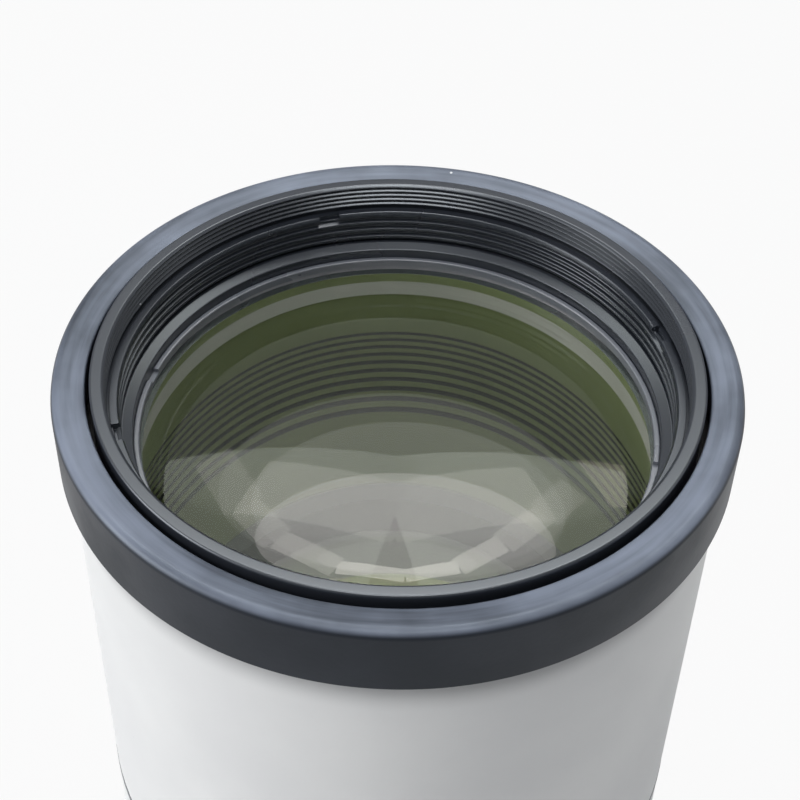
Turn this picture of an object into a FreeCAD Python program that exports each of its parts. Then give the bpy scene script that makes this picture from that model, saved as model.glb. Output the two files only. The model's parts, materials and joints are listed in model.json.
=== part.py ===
import FreeCAD, Part
import math
import os

import Sketcher

# A 400 mm telephoto lens with a bayonet mount, a sliding hood and a tripod collar.
# Millimetres. The origin is on the optical axis in the plane of the mount's flange,
# +Z points to the front of the lens and the tripod foot is towards +Y.

Vector = FreeCAD.Vector
Rotation = FreeCAD.Rotation
Placement = FreeCAD.Placement

doc = FreeCAD.newDocument("TelephotoLens")
sheet = doc.addObject("Spreadsheet::Sheet", "Dimensions")

DRIVING = [
    # Clearances
    ("fit_gap", 0.05, "between fixed pieces that slot into each other, on the radius"),
    ("run_gap", 0.1, "between a turning or sliding piece and its bearing, on the radius"),
    ("free_gap", 0.3, "between pieces that pass each other"),
    # Bayonet mount
    ("flange_radius", 32.5, "outside of the mount's flange"),
    ("flange_thickness", 3.0, "from the flange plane to the rear barrel"),
    ("throat_radius", 24.5, "bore of the mount"),
    ("bayonet_length", 5.5, "from the flange plane to the rear face"),
    ("tab_thickness", 1.9, "along the axis"),
    ("tab_angle", 58.0, "degrees that one tab spans"),
    ("mount_screw_radius", 0.9, "shank"),
    ("mount_head_radius", 1.7, "head"),
    ("mount_head_height", 1.2, "head, sunk flush in the flange"),
    ("baffle_wall", 1.6, "wall of the rear baffle's tube"),
    ("baffle_flange", 1.0, "thickness of the baffle's inner flange"),
    ("contact_block_angle", 72.0, "degrees that the contact block spans"),
    ("contact_block_depth", 4.4, "from the baffle's flange to the block's face"),
    ("contact_pin_radius", 0.7, "each contact"),
    ("contact_pin_proud", 0.35, "contact above the block's face"),
    ("board_thickness", 1.2, "circuit board"),
    ("board_room", 1.2, "from the circuit board to the barrel's wall"),
    # Rear barrel and collar seat
    ("cone_front", 22.0, "front end of the cone"),
    ("rib_width", 1.7, "rib behind the collar"),
    ("seat_length", 33.0, "seat of the tripod collar"),
    ("rear_wall", 2.0, "rear wall that the mount is screwed to"),
    ("rear_skin", 1.8, "wall of the collar seat at its front end"),
    ("clamp_step", 1.4, "step that the rear cell's flange rests on"),
    # Main barrel
    ("main_radius", 40.5, "main barrel and bearing of the focus ring"),
    ("main_wall", 1.8, "wall of the main barrel"),
    ("main_shoulder", 3.0, "thickness of the wall behind the main tube"),
    ("main_chamfer", 2.0, "rear edge of the main barrel"),
    ("spigot_length", 6.0, "main barrel's spigot inside the rear barrel"),
    ("spigot_wall", 2.35, "wall of that spigot"),
    ("ridge_rear", 113.5, "where the ridge starts to flare"),
    ("ridge_land", 1.5, "straight part of the ridge"),
    ("main_front", 172.0, "front end of the main barrel"),
    ("window_rear", 96.0, "rear edge of the distance window"),
    ("window_length", 15.0, "distance window along the axis"),
    ("window_angle", 42.0, "degrees that the distance window spans"),
    ("window_thickness", 1.2, "clear pane"),
    ("panel_rear", 69.0, "rear edge of the switch panel"),
    ("panel_length", 36.0, "switch panel along the axis"),
    ("panel_angle", 46.0, "degrees that the switch panel spans"),
    ("panel_screw_radius", 0.6, "shank"),
    ("panel_head_radius", 1.1, "head"),
    ("panel_head_height", 0.7, "head"),
    ("panel_screw_inset", 3.0, "screw's centre from the panel's end"),
    ("switch_width", 7.0, "knob of a switch, around the barrel"),
    ("switch_length", 6.0, "knob of a switch, along the barrel"),
    ("switch_height", 1.5, "knob of a switch"),
    ("stem_width", 2.6, "stem of a switch, around the barrel"),
    ("stem_length", 2.4, "stem of a switch, along the barrel"),
    ("switch_travel", 4.0, "travel of a switch"),
    ("mode_switch_place", 92.0, "middle of the focus mode switch"),
    ("range_switch_place", 77.0, "middle of the focus range switch"),
    # Focus ring
    ("focus_ring_length", 47.4, "focus ring along the axis"),
    ("focus_rim_width", 3.0, "each rim"),
    ("grip_groove_depth", 0.6, "grooves between the grip's ribs"),
    ("grip_groove_width", 1.5, "grooves between the grip's ribs"),
    ("grip_end_band", 1.6, "plain band at each end of the grip"),
    ("grip_ribs", 60, "number of ribs"),
    # White ring in front of the focus ring
    ("barrel_ring_length", 12.7, "white ring behind the hood"),
    # Front barrel and hood
    ("front_wall", 1.1, "wall of the front barrel"),
    ("front_spigot_length", 8.0, "front barrel's spigot inside the main barrel"),
    ("front_step", 1.3, "step that the group cell's flange rests on"),
    ("group_seat", 186.0, "place of that step"),
    ("hood_wall", 1.3, "wall of the hood's tube"),
    ("hood_travel", 55.0, "travel of the hood"),
    ("slide_inset", 0.7, "slide ring's rear face from the tube's rear end"),
    ("slide_length", 8.0, "slide ring along the axis"),
    ("slide_gap", 0.08, "running clearance of the slide ring"),
    ("stop_length", 3.0, "stop ring along the axis"),
    ("stop_height", 1.8, "stop ring above the front barrel"),
    ("trim_inset", 2.5, "trim ring from the tube's rear end"),
    ("trim_width", 1.4, "trim ring"),
    ("trim_depth", 0.3, "groove of the trim ring"),
    ("trim_proud", 0.05, "trim ring above the tube"),
    ("bumper_length", 7.65, "skirt of the bumper, back from the tube's front end"),
    ("bumper_lip_height", 1.95, "bumper's lip in front of the tube, at its inner edge"),
    ("bumper_crown", 2.45, "bumper's highest place in front of the tube"),
    ("bumper_side_height", 1.3, "where the bumper's outer wall turns over"),
    ("bumper_round", 1.15, "rounded outer edge of the bumper"),
    # Filter ring
    ("filter_front", 256.5, "front face of the filter ring"),
    ("filter_spigot", 4.0, "filter ring's spigot inside the front barrel"),
    ("rim_round", 0.35, "rounded outer edge of the filter ring"),
    ("rim_chamfer", 0.31, "bevel between the face and the thread"),
    ("thread_pitch", 0.75, "filter thread"),
    ("thread_land", 0.15, "flat crest of a thread"),
    ("thread_turns", 5, "threads, drawn as rings"),
    ("relief_length", 0.37, "relief behind the thread"),
    # Notched ring in front of the front cell
    ("notched_face", 1.0, "width of its flat face"),
    ("ridge_pitch", 1.3, "ridges, also the grooves of the group cell"),
    ("ridge_crest_width", 0.4, "crest of a ridge"),
    ("ridge_flank", 0.2, "slope of a ridge, along the axis"),
    ("ridge_count", 4, "number of ridges"),
    ("first_ridge", 0.6, "first crest behind the flat face"),
    ("notch_width", 3.0, "four notches for a spanner"),
    ("notch_depth", 1.0, "depth of those notches"),
    ("notch_angle", 17.0, "degrees from +X to the first notch"),
    # Front cell, retaining ring and front element
    ("element_front_bend", 130.0, "radius of its front surface"),
    ("element_rear_bend", 400.0, "radius of its rear surface"),
    ("element_thickness", 10.0, "at the middle"),
    ("retainer_height", 1.2, "retaining ring above the glass edge"),
    ("retainer_round", 0.2, "edges of the retaining ring"),
    ("retainer_notch_width", 2.5, "two notches for a spanner"),
    ("retainer_notch_depth", 0.6, "depth of those notches"),
    ("retainer_notch_angle", 167.0, "degrees from +X to one of them"),
    ("lip_land", 0.6, "flat outside the lip"),
    ("cell_seat_width", 1.4, "seat under the front element"),
    ("cell_cone", 3.7, "length of the cone at its rear end"),
    ("glass_gap", 0.02, "between a glass surface and its seat"),
]


class Size:
    """A length together with the sheet formula that gives it."""

    def __init__(self, value, formula):
        self.value = float(value)
        self.formula = formula

    def __float__(self):
        return self.value

    def __add__(self, other):
        other = as_size(other)
        return Size(self.value + other.value, f"({self.formula} + {other.formula})")

    def __sub__(self, other):
        other = as_size(other)
        return Size(self.value - other.value, f"({self.formula} - {other.formula})")

    def __mul__(self, other):
        other = as_size(other)
        return Size(self.value * other.value, f"({self.formula} * {other.formula})")

    def __truediv__(self, other):
        other = as_size(other)
        return Size(self.value / other.value, f"({self.formula} / {other.formula})")

    def __neg__(self):
        return Size(-self.value, f"(0 - {self.formula})")

    __radd__ = __add__
    __rmul__ = __mul__

    def __rsub__(self, other):
        return as_size(other) - self


def as_size(number):
    if isinstance(number, Size):
        return number
    return Size(number, f"({float(number):.9f})")


def root(number):
    return Size(math.sqrt(number.value), f"sqrt({number.formula})")


class Dimensions:
    """The cells of the sheet as sizes."""


DRIVING += [
    # Group cell and second group
    ("group_tube_gap", 0.4, "between the group cell and the front cell"),
    ("group_flange", 4.0, "thickness of the group cell's flange"),
    ("group_lip", 1.9, "seat under the second group"),
    ("group_lip_height", 1.2, "thickness of that seat"),
    ("group_groove_first", 210.9, "rearmost groove of the group cell"),
    ("group_groove_count", 10, "grooves against stray light"),
    ("group_groove_depth", 0.55, "those grooves"),
    ("group_groove_width", 0.6, "those grooves"),
    ("element_2_vertex", 206.3, "front vertex of the second element"),
    ("element_2_bend", 110.0, "radius of its front surface"),
    ("cement_bend", 130.0, "radius of the cemented surfaces"),
    ("cement_edge", 196.0, "edge of the cemented surfaces"),
    ("element_3_bend", 300.0, "radius of the third element's rear surface"),
    ("group_retainer_width", 1.6, "retaining ring of the second group"),
    ("group_retainer_length", 2.2, "retaining ring of the second group"),
    # Iris
    ("iris_length", 8.0, "iris housing along the axis"),
    ("iris_floor", 1.6, "rear wall of the iris housing"),
    ("blade_count", 8, "iris blades"),
    ("blade_angle", 128.0, "degrees that a blade spans"),
    ("blade_thickness", 0.2, "one blade"),
    ("blade_level", 0.35, "from one blade to the next along the axis"),
    ("pivot_pin_radius", 0.8, "pivot pin of a blade"),
    ("drive_pin_radius", 0.7, "drive pin of a blade"),
    ("drive_pin_offset", 5.5, "from the pivot to the drive pin"),
    ("drive_pin_angle", 75.0, "degrees from the pivot's radius to the drive pin"),
    ("blade_tab", 1.5, "edge of a blade round its pins"),
    ("iris_swing", 32.0, "degrees that the drive ring and the blades turn"),
    ("iris_slot_gap", 0.15, "round a pin in its slot"),
    ("drive_ring_thickness", 1.4, "drive ring"),
    ("drive_ring_lift", 0.45, "from the last blade to the drive ring"),
    ("iris_lug_width", 0.9, "lugs that keep the drive ring in"),
    ("iris_lug_height", 0.8, "those lugs"),
    ("iris_lug_angle", 24.0, "degrees that one lug spans"),
    # Inner barrel, cam ring and focus cell
    ("inner_rear", 92.0, "rear end of the inner barrel"),
    ("inner_front", 146.0, "front face of the inner barrel's flange"),
    ("inner_flange", 2.0, "flange of the inner barrel"),
    ("cam_gap", 0.05, "running clearance of the cam ring"),
    ("cam_rear", 98.0, "rear end of the cam ring"),
    ("cam_length", 40.0, "cam ring along the axis"),
    ("scale_wall", 0.8, "wall of the distance scale"),
    ("scale_length", 12.0, "distance scale along the axis"),
    ("scale_web", 1.2, "web that carries the scale"),
    ("follower_radius", 1.5, "three cam followers"),
    ("follower_place", 119.0, "cam followers at infinity"),
    ("follower_angle", 30.0, "degrees from +X to the first follower"),
    ("follower_proud", 0.3, "follower's end below the cam ring's outside"),
    ("follower_depth", 2.4, "follower in the focus cell's wall"),
    ("focus_travel", 12.0, "travel of the focus cell"),
    ("cam_turn", 60.0, "degrees that the cam ring turns over that travel"),
    ("focus_cell_rear", 104.0, "rear end of the focus cell"),
    ("focus_cell_length", 20.0, "focus cell along the axis"),
    ("focus_cell_lip", 1.5, "seat of the focus element"),
    ("focus_element_edge", 6.5, "its edge"),
    ("focus_element_bend", 90.0, "radius of its hollow front"),
    ("focus_retainer_width", 2.4, "retaining ring of the focus element"),
    ("focus_retainer_length", 2.0, "retaining ring of the focus element"),
    # Ring motor
    ("stator_rear", 127.0, "rear face of the stator"),
    ("stator_length", 8.0, "stator"),
    ("rotor_length", 8.5, "rotor"),
    # Rear cell
    ("rear_flange_front", 51.0, "front face of the rear cell's flange"),
    ("rear_flange_thickness", 3.0, "flange of the rear cell"),
    ("rear_cell_radius", 23.0, "tube of the rear cell"),
    ("rear_cell_rear", 36.0, "rear end of the rear cell"),
    ("rear_cell_front", 53.0, "front end of the rear cell"),
    ("rear_glass_radius", 21.0, "both rear elements"),
    ("rear_lip", 1.5, "seat of the rear elements"),
    ("rear_element_2_edge", 2.5, "edge of the last element"),
    ("rear_element_2_bend", 80.0, "radius of its front surface"),
    ("rear_element_1_edge", 6.0, "edge of the element in front of it"),
    ("rear_element_1_bend", 75.0, "radius of its hollow rear surface"),
    ("rear_retainer_width", 2.2, "retaining ring of the rear elements"),
    ("rear_retainer_length", 2.4, "retaining ring of the rear elements"),
    # Tripod collar
    ("collar_split", 0.3, "slit between the collar's halves"),
    ("knuckle_radius", 2.7, "collar hinge"),
    ("knuckle_length", 10.0, "each outer knuckle"),
    ("hinge_pin_radius", 1.25, "collar hinge"),
    ("lug_thickness", 6.5, "each clamping lug"),
    ("lug_height", 12.0, "clamping lugs along the lens"),
    ("collar_screw_radius", 2.0, "collar screw"),
    ("screw_hole_gap", 0.4, "round the collar screw in the base's lug"),
    ("knob_radius", 7.5, "collar knob"),
    ("knob_length", 9.0, "collar knob"),
    ("knob_hub_radius", 4.0, "hub under the knob"),
    ("knob_hub_length", 1.2, "hub under the knob"),
    ("knob_flute_radius", 1.0, "flutes round the knob"),
    ("knob_flutes", 18, "number of flutes"),
    ("foot_thickness", 7.5, "plate of the foot"),
    ("foot_width", 27.0, "plate of the foot, across the lens"),
    ("foot_length", 38.0, "plate of the foot, along the lens"),
    ("foot_round", 3.0, "corners of the foot's plate"),
    ("neck_width", 17.0, "neck of the foot, across the lens"),
    ("neck_length", 22.0, "neck of the foot, along the lens"),
    ("bush_radius", 5.0, "outside of the tripod bush"),
    ("bush_length", 9.0, "tripod bush"),
    ("bush_thread", 2.55, "thread of the tripod bush, at its crests"),
]

# Sizes that follow another size: name, the size it follows, how much is added, meaning
FOLLOWING = [
    ("bayonet_radius", "throat_radius", 0.8, "outside of the bayonet's tube"),
    ("tab_radius", "bayonet_radius", 1.7, "outside of the three bayonet tabs"),
    ("mount_screw_circle", "flange_radius", -2.5, "radius of the four screws' circle"),
    ("baffle_opening", "throat_radius", -6.5, "radius of the rear light opening"),
    ("contact_block_inner", "throat_radius", -5.5, "inside radius of the contact block"),
    ("tail_radius", "flange_radius", 0.9, "rear end of the barrel's cone"),
    ("seat_radius", "main_radius", -3.1, "seat of the tripod collar"),
    ("rib_radius", "seat_radius", 0.9, "rib behind the collar"),
    ("collar_ridge_radius", "main_radius", 2.5, "flared ridge behind the focus ring"),
    ("ridge_front", "ridge_rear", 4.5, "front face of the ridge"),
    ("panel_seat", "main_radius", -0.8, "floor of the panel's pocket"),
    ("panel_radius", "main_radius", 0.9, "outside of the switch panel"),
    ("focus_rim_radius", "main_radius", 2.7, "rims at both ends of the focus ring"),
    ("focus_bed_radius", "main_radius", 1.5, "seat of the rubber grip"),
    ("grip_radius", "main_radius", 3.2, "outside of the rubber grip"),
    ("front_radius", "main_radius", -0.5, "front barrel, on which the hood slides"),
    ("front_barrel_end", "filter_front", -7.0, "front end of the front barrel"),
    ("hood_radius", "front_radius", 3.7, "outside of the hood's tube"),
    ("hood_rear", "main_front", 7.3, "rear end of the hood, pushed back"),
    ("hood_front", "filter_front", -3.1, "front end of the hood's tube, pushed back"),
    ("bumper_radius", "hood_radius", 1.3, "outside of the rubber bumper"),
    ("bumper_lip_radius", "front_radius", 0.6, "inner edge of the bumper's lip"),
    ("rim_inner", "front_radius", -1.55, "inner edge of the filter ring's face"),
    ("thread_crest", "front_radius", -1.9, "crests of the filter thread"),
    ("thread_root", "thread_crest", 0.4, "roots of the filter thread"),
    ("thread_relief", "thread_crest", 0.4, "relief behind the thread"),
    ("filter_bore", "front_radius", -2.4, "bore behind the relief"),
    ("notched_radius", "front_radius", -2.2, "outside of the notched ring's face"),
    ("notched_front", "filter_front", -3.75, "front face of the notched ring"),
    ("notched_rear", "filter_front", -9.1, "rear face of the notched ring"),
    ("ridge_crest", "front_radius", -3.4, "crests of its ridges"),
    ("ridge_valley", "ridge_crest", 0.55, "valleys of its ridges"),
    ("element_radius", "front_radius", -4.75, "front element"),
    ("element_vertex", "filter_front", -7.6, "its front vertex"),
    ("clear_radius", "element_radius", -0.75, "bore of the retaining ring"),
    ("lip_radius", "front_radius", -3.4, "outer edge of the cell's sloped lip"),
    ("lip_rear", "filter_front", -9.75, "inner edge of the lip along the axis"),
    ("lip_front", "lip_rear", 0.6, "outer edge of the lip along the axis"),
    ("cell_rear", "filter_front", -23.3, "rear face of the front cell"),
    ("cell_throat", "element_radius", -2.05, "bore at its rear face"),
    ("cell_shoulder", "filter_front", -11.2, "where the filter ring's spigot ends above the cell"),
    ("group_radius", "front_radius", -6.6, "both elements of the second group"),
    ("group_tube_radius", "group_radius", 1.6, "outside of the group cell's tube"),
    ("iris_floor_bore", "main_radius", -17.0, "opening in that wall"),
    ("iris_wall_bore", "main_radius", -4.3, "bore of the housing in front of its floor"),
    ("blade_inner", "main_radius", -18.0, "inner edge of a blade, open"),
    ("blade_outer", "blade_inner", 6.3, "outer edge of a blade, open"),
    ("pivot_circle", "main_radius", -9.5, "circle of the blades' pivots"),
    ("drive_ring_inner", "main_radius", -15.0, "bore of the drive ring"),
    ("inner_bore", "main_radius", -9.5, "bore of the inner barrel"),
    ("inner_radius", "inner_bore", 1.5, "outside of the inner barrel"),
    ("cam_radius", "inner_radius", 2.0, "outside of the cam ring"),
    ("scale_radius", "main_radius", -2.5, "outside of the distance scale"),
    ("focus_element_radius", "inner_bore", -4.0, "focus element"),
    ("motor_bore", "main_radius", -5.3, "bore of the stator and the rotor"),
    ("collar_radius", "seat_radius", 4.1, "outside of the collar"),
    ("hinge_offset", "seat_radius", 3.0, "collar hinge from the optical axis"),
    ("lug_front", "collar_radius", 14.0, "end of the clamping lugs from the optical axis"),
    ("screw_place", "collar_radius", 8.5, "collar screw from the optical axis"),
    ("foot_face", "collar_radius", 28.5, "foot's face from the optical axis"),
]

rows = enumerate(DRIVING, start=1)
for row, (alias, value, meaning) in rows:
    sheet.set(f"A{row}", meaning)
    sheet.set(f"B{row}", str(value))
    sheet.setAlias(f"B{row}", alias)
rows = enumerate(FOLLOWING, start=1 + len(DRIVING))
for row, (alias, followed, added, meaning) in rows:
    sheet.set(f"A{row}", meaning)
    sheet.set(f"B{row}", f"={followed} + {added}")
    sheet.setAlias(f"B{row}", alias)
doc.recompute()
for name in [entry[0] for entry in DRIVING + FOLLOWING]:
    setattr(Dimensions, name, Size(sheet.get(name), f"Dimensions.{name}"))

d = Dimensions
ZERO = as_size(0)
ALONG_X = Vector(1, 0, 0)
ALONG_Y = Vector(0, 1, 0)
ALONG_Z = Vector(0, 0, 1)
FULL_TURN = 360
pieces = []


def bind(thing, prop, size):
    """Tie one property of a feature to the sheet."""
    thing.setExpression(prop, as_size(size).formula)


def piece(thing, name):
    """Name a finished sub-part and list it for export."""
    thing.Label = name
    pieces.append(thing)
    return thing


def plane_of(body, role):
    for feature in body.Origin.OriginFeatures:
        if feature.Role == role:
            return feature


def outline_sketch(body, name, outline, role):
    """Draw a closed outline of (x, y) or (x, y, bend) points in a body's origin plane.

    A third value makes the stretch that ends at the point an arc of that radius:
    positive turns left on the way to the point, negative turns right.
    """
    sketch = body.newObject("Sketcher::SketchObject", name)
    sketch.AttachmentSupport = [(plane_of(body, role), "")]
    sketch.MapMode = "FlatFace"
    points = [(as_size(point[0]), as_size(point[1])) for point in outline]
    ends = []
    for number, point in enumerate(outline):
        start = Vector(points[number - 1][0].value, points[number - 1][1].value, 0)
        end = Vector(points[number][0].value, points[number][1].value, 0)
        if len(point) == 2:
            sketch.addGeometry(Part.LineSegment(start, end), False)
            ends.append((1, 2))
            continue
        bend = float(point[2])
        chord = end - start
        left = Vector(-chord.y, chord.x, 0).normalize()
        rise = math.sqrt(max(bend ** 2 - (chord.Length / 2) ** 2, 0))
        centre = start + chord * 0.5 + left * math.copysign(rise, bend)
        first, last = (start, end) if bend > 0 else (end, start)
        first_angle = math.atan2(first.y - centre.y, first.x - centre.x)
        last_angle = math.atan2(last.y - centre.y, last.x - centre.x)
        circle = Part.Circle(centre, ALONG_Z, abs(bend))
        sketch.addGeometry(Part.ArcOfCircle(circle, first_angle, last_angle), False)
        ends.append((1, 2) if bend > 0 else (2, 1))
    for number, point in enumerate(outline):
        following = (number + 1) % len(outline)
        sketch.addConstraint(
            Sketcher.Constraint("Coincident", number, ends[number][1], following, ends[following][0]))
        for kind, size in zip(("DistanceX", "DistanceY"), points[number]):
            mark = sketch.addConstraint(
                Sketcher.Constraint(kind, -1, 1, number, ends[number][1], size.value))
            bind(sketch, f"Constraints[{mark}]", size)
        if len(point) == 3:
            bend = as_size(point[2])
            if bend.value < 0:
                bend = -bend
            mark = sketch.addConstraint(Sketcher.Constraint("Radius", number, bend.value))
            bind(sketch, f"Constraints[{mark}]", bend)
    return sketch


def turned(name, outline, angle=FULL_TURN, middle=0):
    """Turn an outline of (radius, height) points about the optical axis.

    A part turn spans the given angle, with its middle at that many degrees from +X.
    """
    body = doc.addObject("PartDesign::Body", name + "_body")
    sketch = outline_sketch(body, name + "_outline", outline, "XZ_Plane")
    turn = body.newObject("PartDesign::Revolution", name + "_turn")
    turn.Profile = sketch
    turn.ReferenceAxis = (sketch, ["V_Axis"])
    turn.Midplane = True
    bind(turn, "Angle", angle)
    body.Placement = Placement(Vector(), Rotation(ALONG_Z, float(middle)))
    return body


def ring(name, inner, outer, rear, front, angle=FULL_TURN, middle=0):
    """A plain ring, or a part of one, between two radii and two heights."""
    outline = [(inner, rear), (outer, rear), (outer, front), (inner, front)]
    return turned(name, outline, angle, middle)


def place(thing, x, y, z, rotation=None):
    thing.Placement = Placement(Vector(), rotation or Rotation())
    for axis, size in zip("xyz", (x, y, z)):
        bind(thing, f"Placement.Base.{axis}", size)


def cylinder(name, radius, length, x=ZERO, y=ZERO, z=ZERO, along=ALONG_Z):
    thing = doc.addObject("Part::Cylinder", name)
    bind(thing, "Radius", radius)
    bind(thing, "Height", length)
    place(thing, x, y, z, Rotation(ALONG_Z, along))
    return thing


def spoke(name, radius, inner, outer, z, angle):
    """A cylinder that points away from the optical axis at the given angle."""
    turn = math.radians(float(angle))
    outwards = Vector(math.cos(turn), math.sin(turn), 0)
    return cylinder(name, radius, outer - inner, inner * outwards.x, inner * outwards.y, z, outwards)


def block(name, x_low, x_high, y_low, y_high, z_low, z_high, angle=0):
    """A box between three pairs of limits, turned about the optical axis."""
    thing = doc.addObject("Part::Box", name)
    bind(thing, "Length", as_size(x_high) - x_low)
    bind(thing, "Width", as_size(y_high) - y_low)
    bind(thing, "Height", as_size(z_high) - z_low)
    turn = math.radians(float(angle))
    x = as_size(x_low) * math.cos(turn) - as_size(y_low) * math.sin(turn)
    y = as_size(x_low) * math.sin(turn) + as_size(y_low) * math.cos(turn)
    place(thing, x, y, z_low, Rotation(ALONG_Z, float(angle)))
    return thing


def joined(name, parts):
    thing = doc.addObject("Part::MultiFuse", name)
    thing.Shapes = parts
    return thing


def without(name, base, cutters):
    """Cut one or more features out of a base."""
    tool = cutters[0]
    if len(cutters) > 1:
        tool = doc.addObject("Part::Compound", name + "_cutters")
        tool.Links = cutters
    thing = doc.addObject("Part::Cut", name)
    thing.Base = base
    thing.Tool = tool
    return thing


def group(name, parts):
    """Keep identical fasteners together as separate solids of one node."""
    thing = doc.addObject("Part::Compound", name)
    thing.Links = parts
    return thing


def sag(radius, bend):
    """Depth of a spherical surface of radius `bend` at a distance from its vertex."""
    return bend - root(bend * bend - radius * radius)


# Places that several pieces share
baffle_radius = d.throat_radius - d.fit_gap
seat_rear = d.cone_front + d.rib_width + d.free_gap
seat_front = seat_rear + d.seat_length
rear_wall_front = d.flange_thickness + d.rear_wall
rear_bore = d.seat_radius - d.rear_skin
narrow_rear_bore = rear_bore - d.clamp_step
main_bore = d.main_radius - d.main_wall
main_lining = main_bore - d.fit_gap
focus_rear = d.ridge_front + d.free_gap
focus_front = focus_rear + d.focus_ring_length
barrel_ring_rear = focus_front + d.free_gap
barrel_ring_front = barrel_ring_rear + d.barrel_ring_length
front_bore = d.front_radius - d.front_wall
front_lining = front_bore - d.fit_gap
hood_bore = d.hood_radius - d.hood_wall
slide_rear = d.hood_rear + d.slide_inset
stop_rear = slide_rear + d.slide_length + d.hood_travel + d.free_gap
thread_front = d.filter_front - d.rim_chamfer - d.thread_land / 2
thread_rear = thread_front - d.thread_pitch * (d.thread_turns - 0.5) - d.thread_land / 2
filter_bore_front = thread_rear - d.relief_length


# Bayonet mount

def make_mount_plate():
    tube = turned("mount_tube", [
        (d.throat_radius, -d.bayonet_length),
        (d.bayonet_radius, -d.bayonet_length),
        (d.bayonet_radius, ZERO),
        (d.flange_radius, ZERO),
        (d.flange_radius, d.flange_thickness),
        (d.throat_radius, d.flange_thickness),
    ])
    tabs = []
    for number in range(3):
        middle = 90 + 120 * number
        tabs.append(ring(f"mount_tab_{number}", d.throat_radius, d.tab_radius,
                         -d.bayonet_length, d.tab_thickness - d.bayonet_length, d.tab_angle, middle))
    holes = []
    for number in range(4):
        x, y = on_circle(d.mount_screw_circle, 45 + 90 * number)
        holes.append(cylinder(f"mount_hole_{number}", d.mount_screw_radius, d.flange_thickness, x, y))
        holes.append(cylinder(f"mount_sink_{number}", d.mount_head_radius, d.mount_head_height, x, y))
    piece(without("mount_with_holes", joined("mount_with_tabs", [tube] + tabs), holes), "mount_plate")


def on_circle(radius, angle):
    turn = math.radians(float(angle))
    return radius * math.cos(turn), radius * math.sin(turn)


def make_mount_screws():
    screws = []
    for number in range(4):
        x, y = on_circle(d.mount_screw_circle, 45 + 90 * number)
        head = cylinder(f"mount_head_{number}", d.mount_head_radius, d.mount_head_height, x, y)
        shank = cylinder(f"mount_shank_{number}", d.mount_screw_radius, rear_wall_front, x, y)
        screws.append(joined(f"mount_screw_{number}", [head, shank]))
    piece(group("mount_screw_set", screws), "mount_screws")


def make_rear_baffle():
    piece(turned("baffle", [
        (baffle_radius - d.baffle_wall, d.tab_thickness - d.bayonet_length - d.baffle_flange),
        (baffle_radius, d.tab_thickness - d.bayonet_length - d.baffle_flange),
        (baffle_radius, d.flange_thickness),
        (baffle_radius - d.baffle_wall, d.flange_thickness),
        (baffle_radius - d.baffle_wall, d.baffle_flange),
        (d.baffle_opening, d.baffle_flange),
        (d.baffle_opening, ZERO),
        (baffle_radius - d.baffle_wall, ZERO),
    ]), "rear_baffle")


contact_circle = (d.contact_block_inner + baffle_radius - d.baffle_wall) / 2
contact_inner_end = -d.contact_block_depth / 2


def contact_pin(name, number):
    first = 90 - float(d.contact_block_angle) / 2
    angle = first + float(d.contact_block_angle) * (number + 0.5) / 8
    x, y = on_circle(contact_circle, angle)
    face = -d.contact_block_depth - d.contact_pin_proud
    return cylinder(f"{name}_{number}", d.contact_pin_radius, contact_inner_end - face, x, y, face)


def make_contacts():
    block_ring = ring("contact_ring", d.contact_block_inner, baffle_radius - d.baffle_wall - d.fit_gap,
                      -d.contact_block_depth, ZERO, d.contact_block_angle, 90)
    holes = [contact_pin("contact_hole", number) for number in range(8)]
    piece(without("contact_carrier", block_ring, holes), "contact_block")
    piece(group("contact_set", [contact_pin("contact", number) for number in range(8)]), "contact_pins")


def make_circuit_board():
    inner = d.throat_radius + d.free_gap
    outer = d.tail_radius - d.rear_skin - d.board_room
    piece(ring("board", inner, outer, rear_wall_front,
               rear_wall_front + d.board_thickness), "circuit_board")


# Rear barrel with the seat of the tripod collar

def make_rear_barrel():
    shell = turned("rear_shell", [
        (d.throat_radius, d.flange_thickness),
        (d.tail_radius, d.flange_thickness),
        (d.seat_radius, d.cone_front),
        (d.rib_radius, d.cone_front + d.free_gap),
        (d.rib_radius, seat_rear - d.run_gap),
        (d.seat_radius, seat_rear),
        (d.seat_radius, seat_front),
        (rear_bore, seat_front),
        (rear_bore, d.rear_flange_front - d.rear_flange_thickness),
        (narrow_rear_bore, d.rear_flange_front - d.rear_flange_thickness),
        (narrow_rear_bore, d.cone_front),
        (d.tail_radius - d.rear_skin, rear_wall_front),
        (d.throat_radius, rear_wall_front),
    ])
    holes = []
    for number in range(4):
        x, y = on_circle(d.mount_screw_circle, 45 + 90 * number)
        holes.append(cylinder(f"rear_wall_hole_{number}", d.mount_screw_radius, d.rear_wall,
                              x, y, d.flange_thickness))
    piece(without("rear_shell_with_holes", shell, holes), "rear_barrel")


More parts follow.
